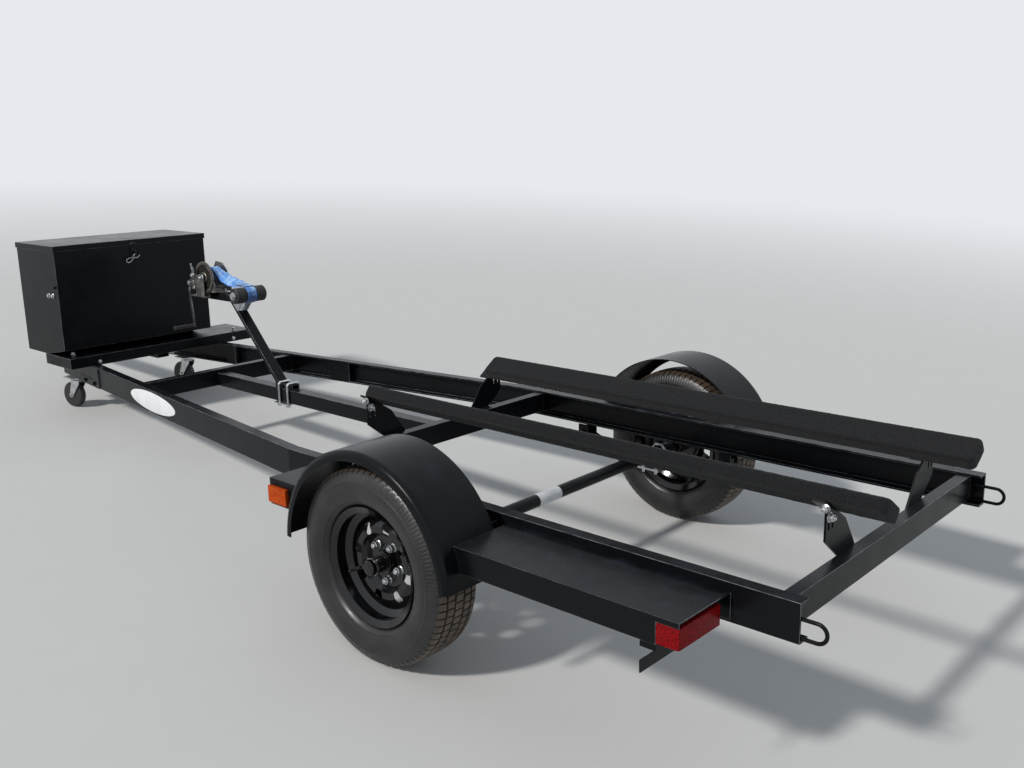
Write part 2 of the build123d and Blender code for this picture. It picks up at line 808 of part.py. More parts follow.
def leaf_spring():
    """Left spring: bowed leaves under the axle, all about one centre, and an eye at each end."""
    eye_z = rail_bottom - eye_drop
    seat_z, bow = spring_bow()
    stack = None
    for i in range(spring_leaves):
        inner = bow + i * spring_leaf
        ring = Circle(inner + spring_leaf) - Circle(inner)
        reach = spring_half_length * (1 - leaf_step * i)
        window = Pos(0, -bow) * Rectangle(2 * reach, bow * 0.8)
        section = Pos(0, seat_z + bow) * (ring & window)
        leaf = extrude(Plane.XZ.offset(-spring_width / 2) * section, spring_width)
        stack = leaf if stack is None else stack + leaf
    for x in (-spring_half_length, spring_half_length):
        stack += round_y(eye_radius, -spring_width / 2, spring_width / 2, x, eye_z)
        stack -= round_y(eye_bolt_radius + running_gap, -spring_width, spring_width, x, eye_z)
    return Pos(0, spring_y, 0) * stack


def spring_hangers():
    """Front and rear hanger of each spring: two cheeks under the rail and a bolt."""
    z = rail_bottom - eye_drop
    gap = spring_width / 2 + piece_gap
    end = gap + hanger_wall + eye_bolt_end
    parts = []
    for side in (-1, 1):
        for x in (-spring_half_length, spring_half_length):
            y = side * spring_y
            body = round_y(eye_bolt_radius, y - end, y + end, x, z)
            for cheek in (-1, 1):
                body += box_between(x - hanger_length / 2, x + hanger_length / 2, y + cheek * gap,
                                    y + cheek * (gap + hanger_wall), z - hanger_tail, rail_bottom)
            parts.append(body)
    return group(parts)


def axle_clamps():
    """Spring plates below the leaves with a pair of U-bolts over the axle."""
    low = tyre_radius - axle_radius - spring_seat - spring_leaf * spring_leaves
    reach = axle_radius + axle_bolt_radius + piece_gap
    parts = []
    for side in (-1, 1):
        y = side * spring_y
        body = box_between(-axle_plate_length / 2, axle_plate_length / 2, y - axle_plate_width / 2,
                           y + axle_plate_width / 2, low - axle_plate_wall, low)
        for dy in (-axle_bolt_y, axle_bolt_y):
            body += u_bolt(y + dy, reach, low - axle_plate_wall - axle_bolt_tail, tyre_radius + reach,
                           axle_bolt_radius, reach * 0.55, lengthwise=True)
        parts.append(body)
    return group(parts)


def lug_places():
    """Side-view places of the wheel bolts about the wheel's centre."""
    return [polar(bolt_circle / 2, lug_phase + 360 * i / lug_count) for i in range(lug_count)]


def lug_nut():
    """Hexagonal nut with a coned tip, drawn on the disc's face and pointing out along +Y."""
    def hexagon(across, y):
        return Plane.XZ.offset(-y) * RegularPolygon(across / 2, 6, major_radius=False)
    body = extrude(hexagon(lug_nut_across, lug_nut_height), lug_nut_height)
    tip = loft([hexagon(lug_nut_across, lug_nut_height),
                hexagon(lug_tip_across, lug_nut_height + lug_tip_height)])
    return body + tip


def hub():
    """Left hub: barrel, wheel flange, studs with nuts, and the bearing cap."""
    y = half_track
    body = round_y(hub_radius, y - hub_reach_in, y + hub_reach_out, 0, tyre_radius)
    body += round_y(hub_flange_radius, y - disc_wall - hub_flange_wall, y - disc_wall, 0, tyre_radius)
    body += round_y(cap_radius, y, y + cap_reach, 0, tyre_radius)
    body -= round_y(spindle_radius + running_gap, y - hub_reach_in - 1, y + spindle_reach + 5, 0, tyre_radius)
    nut = lug_nut()
    for x, z in lug_places():
        stud = round_y(lug_hole_radius - piece_gap, y - disc_wall - 1, y + 1, x, tyre_radius + z)
        body += stud + Pos(x, y, tyre_radius + z) * nut
    return body


def rim_window():
    """Wheel window: a trapezium with cut corners, wider outside, cut through the disc along Y."""
    outline = Trapezoid(window_width, window_height, window_taper)
    outline = chamfer(outline.vertices(), window_corner)
    cutter = extrude(Plane.XZ.offset(-ridge_height * 2) * Rot(0, 0, 90) * outline, ridge_height * 4)
    return Pos(window_radius, 0, 0) * cutter


def rim():
    """Left rim: a rolled barrel with a drop centre and a dished disc with a ring of windows."""
    half = rim_width / 2
    f, b, w, t = rim_flange_radius, bead_radius, rim_well_radius, rim_wall
    seat = half - rim_flange_run
    outer = [(-half, f), (-seat, b), (-seat + bead_seat, b), (-seat + bead_seat + well_slope, w),
             (seat - bead_seat - well_slope, w), (seat - bead_seat, b), (seat, b), (half, f)]
    inner = [(half + t, f), (seat + t, b - t)] + [(y, r - t) for y, r in outer[-3:1:-1]]
    inner += [(-seat - t, b - t), (-half - t, f)]
    barrel = revolve(Plane.YZ * make_face(Polyline(*(outer + inner), close=True)), Axis.Y)
    d = disc_wall
    face = [(0, disc_flat_radius), (ridge_height, ridge_inner_radius), (ridge_height, ridge_outer_radius),
            (disc_edge, w - t)]
    back = [(disc_edge - d, w - t), (ridge_height - d, ridge_outer_radius - d / 2),
            (ridge_height - d, ridge_inner_radius + d / 2), (-d, disc_flat_radius + d / 2)]
    dish = [(-d, pilot_radius), (0, pilot_radius)] + face + back
    disc = revolve(Plane.YZ * make_face(Polyline(*dish, close=True)), Axis.Y)
    window = rim_window()
    for i in range(window_count):
        disc -= Rot(0, -window_phase - 360 * i / window_count, 0) * window
    for x, z in lug_places():
        disc -= round_y(lug_hole_radius, -2 * d, d, x, z)
    return Pos(0, half_track, tyre_radius) * (barrel + disc)


def tyre():
    """Left tyre: one turned ring from the bead seats over the bowed sides to the flat tread."""
    heel = rim_width / 2 - rim_flange_run - piece_gap
    side = [(heel, bead_radius + piece_gap), (tyre_width / 2, tyre_widest_radius),
            (tread_width / 2, tyre_radius)]
    outline = side + [(-y, radius) for y, radius in side[::-1]]
    ring = revolve(Plane.YZ * make_face(Polyline(*outline, close=True)), Axis.Y)
    return Pos(0, half_track, tyre_radius) * ring


def fender():
    """Left fender: an arch rolled from one sheet, turned down round its outer edge."""
    y1 = fender_inner_y + fender_width - fender_wall / 2
    r = fender_radius - fender_wall / 2
    route = FilletPolyline((fender_inner_y, r), (y1, r), (y1, fender_radius - fender_lip),
                           radius=fender_corner - fender_wall / 2)
    section = Plane.YZ * trace(route, fender_wall)
    sweep_angle = fender_rear_angle - fender_front_angle
    arch = revolve(Rot(0, 90 - fender_front_angle, 0) * section, Axis.Y, -sweep_angle)
    return Pos(fender_x, 0, fender_z) * arch


def step():
    """Left step: a folded tray on the rail's outer face behind the fender, open below and behind."""
    y0, y1 = rail_half_width, step_outer_y
    z0 = step_top - step_height
    w = step_wall
    tray = box_between(step_rear, step_front, y0, y1, z0, step_top)
    tray -= box_between(step_rear - 1, step_front - w, y0 + w, y1 - w, z0 - 1, step_top - w)
    recess = box_between(step_rear - 1, step_rear + lamp_depth + piece_gap, y1 - w - 1, y1 + 1,
                         z0 - 1, step_top - lamp_drop + piece_gap)
    arch = round_y(fender_radius + piece_gap, y0 - 1, y1 + 1, fender_x, fender_z)
    return tray - recess - arch


def tail_lamp():
    """Left tail lamp under the step's rear outer corner, on a block up to the step's top."""
    y0, y1 = step_outer_y - lamp_width, step_outer_y
    z1 = step_top - lamp_drop
    lamp = box_between(step_rear, step_rear + lamp_depth, y0, y1, z1 - lamp_height, z1)
    lamp = fillet(lamp.edges().filter_by(Axis.Z).sort_by(Axis.Y)[-2:], lamp_corner)
    foot_in = step_wall + lamp_corner
    return lamp + box_between(step_rear + foot_in, step_rear + lamp_depth - foot_in, y0 + foot_in,
                              y1 - foot_in, z1, step_top - step_wall - piece_gap)


def marker_box():
    """Left marker housing on the rail ahead of the fender."""
    z0 = marker_top - marker_height
    w = step_wall
    shell = box_between(marker_rear, marker_front, rail_half_width, marker_outer_y, z0, marker_top)
    shell -= box_between(marker_rear + w, marker_front - w, rail_half_width + w, marker_outer_y - w,
                         z0 - 1, marker_top - w)
    return shell


def marker_lens():
    z = marker_top - marker_height / 2 - lens_drop
    x1 = marker_front - lens_inset
    return box_between(x1 - lens_length, x1, marker_outer_y, marker_outer_y + lens_wall,
                       z - lens_height / 2, z + lens_height / 2)


def plate_tab():
    """Bar for a number plate, hung by an ear from inside the left step's skirt ahead of the lamp."""
    x = step_rear + lamp_depth + piece_gap
    w = plate_bar_wall
    low = step_top - step_height - plate_bar_drop
    y = step_outer_y - step_wall
    bar = box_between(x, x + w, plate_bar_inner_y, plate_bar_outer_y, low - plate_bar_height, low)
    top = step_top - step_height + plate_ear_rise
    ear = box_between(x, x + plate_ear_width, y - w, y, low - w, top)
    neck = box_between(x, x + w, y - plate_ear_width, y, low - w, top)
    return bar + ear + neck


def bunk():
    """Left bunk: a carpeted board with round corners and edges, tilted towards the keel."""
    board = extrude(RectangleRounded(bunk_front - bunk_rear, bunk_width, bunk_corner), bunk_wall)
    board = Pos(0, 0, -bunk_wall / 2) * board
    rims = board.faces().filter_by(Axis.Z).edges()
    board = fillet(rims, bunk_edge)
    return Pos((bunk_front + bunk_rear) / 2, bunk_y, bunk_z) * Rot(bunk_tilt, 0, 0) * board


def under_bunk(along, gap=0.0):
    """Place in y and z on the left bunk's underside, at a distance up its slope and a gap below it."""
    t = radians(bunk_tilt)
    down = bunk_wall / 2 + gap
    return bunk_y + along * cos(t) + down * sin(t), bunk_z + along * sin(t) - down * cos(t)


def bunk_bracket(x):
    """Left bracket on a crossmember's front face at x: slotted plate with a shelf below the bunk."""
    inner = under_bunk(-bracket_inner_reach)
    outer = under_bunk(bracket_outer_reach)
    foot_z = cross_bottom + bracket_foot_rise
    outline = [(bracket_foot_y[0], foot_z), inner, outer, (outer[0], bracket_outer_low),
               (bracket_foot_y[1], foot_z)]
    body = plate(outline, Plane.YZ.offset(x), bracket_wall)
    slot_y, slot_z = under_bunk(0, slot_drop)
    for i in (-1, 0, 1):
        body -= Pos(x, slot_y + i * slot_spacing, slot_z) * Box(3 * bracket_wall, slot_width, slot_length)
    hole_y = (bracket_foot_y[0] + bracket_foot_y[1]) / 2 + bracket_hole_rise / 2
    body -= Pos(x, hole_y, cross_top + bracket_hole_rise) * Rot(0, 90, 0) * Cylinder(bracket_hole_radius,
                                                                                 3 * bracket_wall)
    shelf = Pos(x + bracket_shelf / 2, *under_bunk(0, bracket_wall / 2)) * Rot(bunk_tilt, 0, 0) * Box(
        bracket_shelf, bunk_width - 2 * bunk_edge, bracket_wall)
    return body + shelf


def bunk_brackets():
    """Four brackets from the crossmembers' front faces to the bunks' undersides."""
    parts = []
    for x in (cross_rear_x + cross_depth / 2, cross_bunk_x + cross_depth / 2):
        left = bunk_bracket(x)
        parts += [left, mirrored(left)]
    return group(parts)


def tie_loop():
    """Left tie-down loop: round bar bent to a half-round end, on the rear end of the rail."""
    r = loop_rod_radius
    x0 = cross_rear_x - cross_depth / 2 - piece_gap
    y = rail_half_width - rail_web - piece_gap - r
    z0 = rail_bottom + rail_flange_wall + piece_gap + r
    bend = loop_height / 2 - r
    x1 = rail_rear - loop_reach + loop_height / 2
    side = Plane(origin=(0, y, 0), x_dir=(1, 0, 0), z_dir=(0, -1, 0))
    turn = ThreePointArc((x1, z0), (x1 - bend, z0 + bend), (x1, z0 + 2 * bend))
    route = side * (Line((x0, z0), (x1, z0)) + turn + Line((x1, z0 + 2 * bend), (x0, z0 + 2 * bend)))
    section = Plane(origin=(x0, y, z0), z_dir=(-1, 0, 0)) * Circle(r)
    return sweep(section, path=route)


def caster_y():
    return rail_y(caster_x) - rail_flange / 2


def caster_mounts():
    """Top plates, raceways and kingpins of the casters, under the rails."""
    parts = []
    for side in (-1, 1):
        base = Pos(caster_x, side * caster_y(), rail_bottom)
        low = -caster_plate_wall - raceway_height
        body = Pos(0, 0, -caster_plate_wall / 2) * Box(caster_plate, caster_plate, caster_plate_wall)
        body += Pos(0, 0, low + raceway_height / 2) * Cylinder(raceway_radius, raceway_height)
        body += Pos(0, 0, low - kingpin_length / 2) * Cylinder(kingpin_radius, kingpin_length)
        parts.append(base * body)
    return group(parts)


def caster_local(shape, side):
    """Place a caster piece drawn round its kingpin at the rail's underside."""
    return Pos(caster_x, side * caster_y(), rail_bottom) * Rot(0, 0, caster_turn) * shape


def caster_fork(side):
    """Zinc fork: a round crown over two tapered legs and the wheel's bolt."""
    top = -caster_plate_wall - raceway_height - caster_gap
    half = caster_wheel_width / 2 + caster_gap
    wall = caster_fork_wall
    crown = Cylinder(caster_crown_radius, wall) + Box(2 * leg_top_half, 2 * (half + wall), wall)
    crown -= Cylinder(kingpin_radius + running_gap, 2 * wall)
    fork = Pos(0, 0, top - wall / 2) * crown
    leg = [(-leg_top_half, top), (leg_top_half, top), (leg_top_half, top - leg_shoulder),
           (caster_trail + leg_low_half, caster_axle_z - leg_low_half / 2),
           (caster_trail + leg_low_half / 2, caster_axle_z - leg_low_half),
           (caster_trail - leg_low_half / 2, caster_axle_z - leg_low_half),
           (caster_trail - leg_low_half, caster_axle_z - leg_low_half / 2),
           (-leg_top_half, top - leg_shoulder)]
    for s in (-1, 1):
        fork += side_plate(leg, s * half, s * (half + wall))
    end = half + wall + caster_bolt_end
    fork += round_y(caster_bolt_radius, -end, end, caster_trail, caster_axle_z)
    return caster_local(fork, side)


def caster_wheel(side):
    """Solid wheel with bevelled shoulders."""
    half = caster_wheel_width / 2
    bore = caster_bolt_radius + running_gap
    r, c = caster_wheel_radius, caster_wheel_chamfer
    profile = [(bore, -half), (r - c, -half), (r, c - half), (r, half - c), (r - c, half), (bore, half)]
    wheel = revolve(Plane.XY * make_face(Polyline(*profile, close=True)), Axis.Y)
    return caster_local(Pos(caster_trail, 0, caster_axle_z) * wheel, side)


def nose_down():
    """Angle about the axle line at which the caster wheels touch the ground."""
    x = caster_x + caster_trail * cos(radians(caster_turn))
    z = rail_bottom + caster_axle_z - tyre_radius
    reach = hypot(x, z)
    return degrees(acos((caster_wheel_radius - tyre_radius) / reach) - atan2(x, z))


def parked(shape):
    """Turn a level piece about the axle line to the parked attitude."""
    return Pos(0, 0, tyre_radius) * Rot(0, nose_down(), 0) * Pos(0, 0, -tyre_radius) * shape


def level_pieces():
    """All pieces by node name, with the rails level."""
    pieces = {
        "rail_left": rail(), "crossmembers": crossmembers(), "keel": keel(), "tongue": tongue(),
        "coupler": coupler(), "platform": platform(), "toolbox_body": toolbox_body(),
        "toolbox_lid": toolbox_lid(), "toolbox_hinge": toolbox_hinge(),
        "toolbox_staple": toolbox_staple(), "winch_post": winch_post(),
        "post_clamps": post_clamps(), "winch_frame": winch_frame(), "winch_drum": winch_drum(),
        "winch_gear": winch_gear(), "winch_crank": winch_crank(), "winch_strap": winch_strap(),
        "roller_bracket": roller_bracket(), "axle": axle(), "leaf_springs": both_sides(leaf_spring()),
        "spring_hangers": spring_hangers(), "axle_clamps": axle_clamps(),
        "marker_boxes": both_sides(marker_box()), "marker_lenses": both_sides(marker_lens()),
        "tail_lamps": both_sides(tail_lamp()), "plate_tab": plate_tab(),
        "bunk_brackets": bunk_brackets(), "tie_loops": both_sides(tie_loop()),
        "caster_mounts": caster_mounts(),
    }
    pieces["rail_right"] = mirrored(pieces["rail_left"])
    for name, make in (("bow_roller", bow_roller), ("hub", hub), ("rim", rim), ("tyre", tyre),
                       ("fender", fender), ("step", step), ("bunk", bunk)):
        shape = make()
        pieces[name + "_left"] = shape
        pieces[name + "_right"] = mirrored(shape)
    for name, side in (("left", 1), ("right", -1)):
        pieces["caster_fork_" + name] = caster_fork(side)
        pieces["caster_wheel_" + name] = caster_wheel(side)
    return pieces


def build():
    """Park every piece and centre the whole on its footprint."""
    pieces = {name: parked(shape) for name, shape in level_pieces().items()}
    boxes = [shape.bounding_box() for shape in pieces.values()]
    mid_x = (min(b.min.X for b in boxes) + max(b.max.X for b in boxes)) / 2
    shift = Pos(-mid_x, 0, -min(b.min.Z for b in boxes))
    return {name: shift * shape for name, shape in pieces.items()}, shift


def main():
    pieces, shift = build()
    os.makedirs("parts", exist_ok=True)
    for name, shape in pieces.items():
        export_step(shape, "parts/" + name + ".step")
    print("nose down", round(nose_down(), 3), "shift", tuple(round(v, 2) for v in shift.position))


main()
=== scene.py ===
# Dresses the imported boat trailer: camera, soft studio, a material for every piece, and the
# detailed pieces that stand for plain solids or sit on them. Objects are in metres, in the
# trailer's own frame. The numbers given to Form are level millimetres, as the trailer was drawn.
import json
import math

import bmesh
import bpy
from mathutils import Matrix, Vector, noise


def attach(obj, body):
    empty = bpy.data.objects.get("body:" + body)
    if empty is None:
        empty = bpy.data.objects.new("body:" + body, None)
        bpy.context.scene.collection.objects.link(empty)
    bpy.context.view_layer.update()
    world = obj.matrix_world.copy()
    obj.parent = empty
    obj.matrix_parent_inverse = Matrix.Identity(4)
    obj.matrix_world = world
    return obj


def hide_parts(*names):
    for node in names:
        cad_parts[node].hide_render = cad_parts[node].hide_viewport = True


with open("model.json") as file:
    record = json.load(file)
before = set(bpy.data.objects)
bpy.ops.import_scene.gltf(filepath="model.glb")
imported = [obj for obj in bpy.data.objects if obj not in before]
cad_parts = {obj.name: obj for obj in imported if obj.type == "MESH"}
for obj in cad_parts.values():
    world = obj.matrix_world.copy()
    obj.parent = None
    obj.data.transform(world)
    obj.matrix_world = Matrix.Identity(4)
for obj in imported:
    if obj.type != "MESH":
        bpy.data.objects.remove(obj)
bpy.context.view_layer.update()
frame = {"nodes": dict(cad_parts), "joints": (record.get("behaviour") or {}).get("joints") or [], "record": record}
nodes = frame["nodes"]
joints = {j["name"]: j for j in frame["joints"]}

# The trailer parks nose down. Level places have the rails level, and the middles of the wheels
# at x = 0, wheel_y to each side and wheel_z up, in level millimetres.
mm = 0.001
wheel_y = 781.0
wheel_z = 300.0
swivel = Vector(joints["caster_left_swivel"]["axis"])
nose_down = math.atan2(swivel.x, swivel.z)
wheel_centre = Vector(joints["wheel_left_spin"]["pos_m"])
level = (Matrix.Translation(wheel_centre - Vector((0, wheel_y * mm, 0)))
         @ Matrix.Rotation(nose_down, 4, "Y") @ Matrix.Translation((0, 0, -wheel_z * mm)))

# The photograph's camera, found from the rails, wheels and box, in level places
image_width = 1024
focal_pixels = 1047.995
camera_place = (-2.20552, 2.64965, 1.50602)
camera_yaw = -0.832497
camera_pitch = 0.2332201
camera_roll = -0.0182372

# Places on the trailer in level millimetres, and two of its angles. The drum and the bow
# rollers are given by the (x, z) of their middles.
rail_half_width = 605.0
bend_x = 705.0
toe_in = math.radians(7.2)
drum = (2050.0, 897.0)
roller = (1787.0, 835.0)
post_lean = math.radians(43.16)


def rail_y(x):
    """Outer face of the left rail."""
    return rail_half_width - max(0.0, x - bend_x) * math.tan(toe_in)


def make_camera():
    """Camera at the photograph's place and angle."""
    forward = Vector((math.cos(camera_pitch) * math.cos(camera_yaw),
                      math.cos(camera_pitch) * math.sin(camera_yaw), -math.sin(camera_pitch)))
    right = Vector((math.sin(camera_yaw), -math.cos(camera_yaw), 0))
    up = right.cross(forward)
    side = right * math.cos(camera_roll) + up * math.sin(camera_roll)
    top = side.cross(forward)
    turn = Matrix((side, top, -forward)).transposed().to_4x4()
    data = bpy.data.cameras.new("camera")
    data.sensor_width = 36.0
    data.lens = focal_pixels * data.sensor_width / image_width
    data.clip_start = 0.05
    data.clip_end = 200
    camera = bpy.data.objects.new("camera", data)
    bpy.context.scene.collection.objects.link(camera)
    camera.matrix_world = level @ Matrix.Translation(camera_place) @ turn
    bpy.context.scene.camera = camera


# Node graphs

class Graph:
    """Short hand for building a material's nodes."""

    def __init__(self, name):
        self.material = bpy.data.materials.new(name)
        self.material.use_nodes = True
        self.tree = self.material.node_tree
        self.shader = self.tree.nodes["Principled BSDF"]
        self.coords = self.tree.nodes.new("ShaderNodeTexCoord").outputs["Object"]

    def node(self, kind, **inputs):
        """New node of a kind, with its named inputs set."""
        made = self.tree.nodes.new(kind)
        for key, value in inputs.items():
            self.put(made.inputs[key.replace("_", " ")], value)
        return made

    def put(self, socket, value):
        """Link an output to a socket, or set the socket to a value."""
        if isinstance(value, bpy.types.NodeSocket):
            self.tree.links.new(value, socket)
        else:
            socket.default_value = value

    def axis(self, index, vector=None):
        """One coordinate of a vector, or of the object's own places."""
        return self.node("ShaderNodeSeparateXYZ", Vector=vector or self.coords).outputs[index]

    def facing_up(self):
        """How far the surface faces up, from -1 to 1."""
        return self.axis(2, self.node("ShaderNodeNewGeometry").outputs["Normal"])

    def noise(self, scale, detail, rough=0.55):
        """Cloudy noise."""
        return self.node("ShaderNodeTexNoise", Vector=self.coords, Scale=scale, Detail=detail,
                         Roughness=rough).outputs["Fac"]

    def cells(self, scale):
        """Distance to the middle of the nearest cell."""
        return self.node("ShaderNodeTexVoronoi", Vector=self.coords, Scale=scale).outputs["Distance"]

    def span(self, value, low, high, to_low=0.0, to_high=1.0):
        """Value stretched so that low becomes to_low and high becomes to_high."""
        return self.node("ShaderNodeMapRange", Value=value, From_Min=low, From_Max=high,
                         To_Min=to_low, To_Max=to_high).outputs["Result"]

    def patches(self, scale, detail, low, high, to_low=0.0, to_high=1.0):
        """Noise stretched as span does it."""
        return self.span(self.noise(scale, detail), low, high, to_low, to_high)

    def math(self, operation, a, b=0.0):
        """Result of one operation on numbers."""
        made = self.tree.nodes.new("ShaderNodeMath")
        made.operation = operation
        self.put(made.inputs[0], a)
        self.put(made.inputs[1], b)
        return made.outputs[0]

    def product(self, a, b):
        """Two numbers multiplied."""
        return self.math("MULTIPLY", a, b)

    def length(self, a, b):
        """Length of a flat vector from its two coordinates."""
        return self.math("SQRT", self.math("ADD", self.product(a, a), self.product(b, b)))

    def mix(self, share, dark, light):
        """Colour that goes from dark to light with a share."""
        made = self.tree.nodes.new("ShaderNodeMix")
        made.data_type = "RGBA"
        self.put(made.inputs["Factor"], share)
        self.put(made.inputs["A"], (*dark, 1) if isinstance(dark, tuple) else dark)
        self.put(made.inputs["B"], (*light, 1) if isinstance(light, tuple) else light)
        return made.outputs["Result"]

    def bump(self, height, distance, strength, normal=None):
        """Normal tilted by a height pattern, on top of another normal where one is given."""
        made = self.node("ShaderNodeBump", Height=height, Distance=distance, Strength=strength)
        if normal:
            self.put(made.inputs["Normal"], normal)
        return made.outputs["Normal"]

    def finish(self, **inputs):
        """Set the shader's named inputs and hand over the material."""
        for key, value in inputs.items():
            name = key.replace("_", " ")
            if isinstance(value, tuple) and len(value) == 3:
                value = (*value, 1)
            self.put(self.shader.inputs[name], value)
        return self.material


def paint(name, dark, light, rough, orange_peel, specular):
    """Powder coat: fine orange peel, slight cloudiness, and faint dust with a painted bluish sky reflection on
    what faces up.
    """
    dust_and_sky_colour = (0.045, 0.066, 0.105)
    dust_and_sky_share = 0.16
    cloud_share = 0.6
    g = Graph(name)
    cloud = g.patches(3.0, 3, 0.35, 0.65)
    # Faint dust and a painted bluish sky reflection, in patches, on faces that point up.
    dust = g.product(g.span(g.facing_up(), 0.6, 1.0), g.patches(18.0, 8, 0.45, 0.75))
    colour = g.mix(g.product(cloud, cloud_share), dark, light)
    colour = g.mix(g.product(dust, dust_and_sky_share), colour, dust_and_sky_colour)
    shine = g.patches(9.0, 6, 0.3, 0.7, rough - 0.05, rough + 0.06)
    peel = g.bump(g.noise(orange_peel, 2), 0.0002, 0.35)
    return g.finish(Base_Color=colour, Roughness=shine, Normal=peel, Specular_IOR_Level=specular)


def painted_edge_highlight():
    """Painted highlight along a rounded edge: the edge is coloured lighter, in patches."""
    painted = (0.022, 0.024, 0.027)
    edge_highlight_colour = (0.15, 0.16, 0.17)
    g = Graph("painted_edge_highlight")
    # Painted highlight: lighter colour where light would catch the edges.
    colour = g.mix(g.patches(24.0, 6, 0.38, 0.62), painted, edge_highlight_colour)
    return g.finish(Base_Color=colour, Roughness=0.28, Specular_IOR_Level=0.5,
                    Normal=g.bump(g.noise(300.0, 2), 0.0001, 0.3))


def metal(name, dark, light, rough, grain=260.0, spangle=0.0):
    """Zinc or steel: bright in worn patches, duller in patches, or spangled in cells."""
    g = Graph(name)
    bright = g.span(g.cells(spangle), 0.1, 0.6) if spangle else g.patches(38.0, 5, 0.35, 0.65)
    colour = g.mix(bright, dark, light)
    shine = g.patches(grain, 3, 0.3, 0.7, rough - 0.08, rough + 0.12)
    return g.finish(Base_Color=colour, Metallic=1.0, Roughness=shine,
                    Normal=g.bump(g.noise(grain, 4), 0.0001, 0.4))


rubber_grain = 420.0


def rubber(name, dark, light, rough):
    """Plain rubber with a fine grain."""
    g = Graph(name)
    colour = g.mix(g.patches(14.0, 6, 0.35, 0.7), dark, light)
    shine = g.patches(60.0, 4, 0.3, 0.7, rough - 0.06, rough + 0.08)
    grain = g.bump(g.noise(rubber_grain, 3), 0.0002, 0.5)
    return g.finish(Base_Color=colour, Roughness=shine, Normal=grain)


def tyre_rubber():
    """Sidewalls near black, the tread worn to a dusty brown grey."""
    clean_wall = (0.0085, 0.0085, 0.009)
    dusty_wall = (0.036, 0.035, 0.034)
    worn_tread = (0.105, 0.074, 0.049)
    tread_start, tread_full = 0.287, 0.297
    smooth, dull = 0.31, 0.46
    g = Graph("tyre")
    up = g.math("ADD", g.axis(2), -wheel_centre.z)
    along = g.math("ADD", g.axis(0), -wheel_centre.x)
    tread = g.product(g.span(g.length(up, along), tread_start, tread_full), g.patches(30.0, 5, 0.2, 0.6))
    dust = g.product(g.patches(9.0, 7, 0.42, 0.72), 0.5)
    colour = g.mix(tread, g.mix(dust, clean_wall, dusty_wall), worn_tread)
    shine = g.patches(60.0, 4, 0.3, 0.7, smooth, dull)
    grain = g.bump(g.noise(rubber_grain, 3), 0.0002, 0.5)
    return g.finish(Base_Color=colour, Roughness=shine, Normal=grain)


def lens(name, deep, bright):
    """Moulded lens plastic with a fine grid of prisms under a smooth skin."""
    prisms = 240.0
    g = Graph(name)
    colour = g.mix(g.span(g.cells(prisms), 0.1, 0.7), bright, deep)
    return g.finish(Base_Color=colour, Roughness=0.26, Specular_IOR_Level=0.06, Coat_Weight=0.10,
                    Coat_Roughness=0.08, Normal=g.bump(g.cells(prisms), 0.0004, 0.4))


def carpet():
    """Short looped pile, flattened in patches."""
    between = (0.0015, 0.0015, 0.0018)
    tuft = (0.024, 0.025, 0.027)
    flattened = (0.015, 0.0155, 0.017)
    g = Graph("carpet")
    tufts = g.noise(430.0, 3, 0.7)
    loops = g.cells(300.0)
    flat = g.patches(7.0, 5, 0.3, 0.7)
    colour = g.mix(g.span(tufts, 0.36, 0.66), between, tuft)
    colour = g.mix(g.product(flat, 0.2), colour, flattened)
    rise = g.bump(loops, 0.0022, 0.7)
    return g.finish(Base_Color=colour, Roughness=0.95, Specular_IOR_Level=0.08, Sheen_Weight=0.12,
                    Sheen_Roughness=0.5, Normal=g.bump(tufts, 0.0025, 0.9, rise))


def webbing(name, deep, bright, pale):
    """Woven strap: ribs across it, a firmer band at each edge, painted shade where it faces down, and painted
    highlights in pale patches where it faces up.
    """
    shaded = tuple(c * 0.3 for c in deep)
    band_start, band_full = 0.0185, 0.0205
    g = Graph(name)
    # How far the strap faces up; this sets the painted shade and the painted highlight.
    painted_lit_side = g.span(g.facing_up(), -0.1, 0.75)
    edge = g.span(g.math("ABSOLUTE", g.axis(1)), band_start, band_full)
    ribs = g.node("ShaderNodeTexWave", Scale=90.0, Distortion=1.2, Vector=g.coords)
    ribs.bands_direction = "Y"
    weave = g.math("ADD", g.product(ribs.outputs["Fac"], 0.6), g.product(g.noise(700.0, 2), 0.6))
    colour = g.mix(g.span(weave, 0.3, 0.8), deep, bright)
    # Painted shade: darker where the strap faces down.
    colour = g.mix(painted_lit_side, shaded, colour)
    # Painted highlight: pale patches where the strap faces up.
    painted_highlight_share = g.product(g.patches(46.0, 6, 0.44, 0.66), 0.8)
    colour = g.mix(g.product(painted_highlight_share, painted_lit_side), colour, pale)
    colour = g.mix(g.product(edge, 0.5), colour, deep)
    return g.finish(Base_Color=colour, Roughness=0.7, Sheen_Weight=0.3, Normal=g.bump(weave, 0.0008, 0.8))


def sticker(name, dark, light):
    """Smooth vinyl, slightly clouded."""
    g = Graph(name)
    colour = g.mix(g.patches(20.0, 5, 0.3, 0.7), dark, light)
    return g.finish(Base_Color=colour, Roughness=0.32, Normal=g.bump(g.noise(90.0, 2), 0.0003, 0.3))


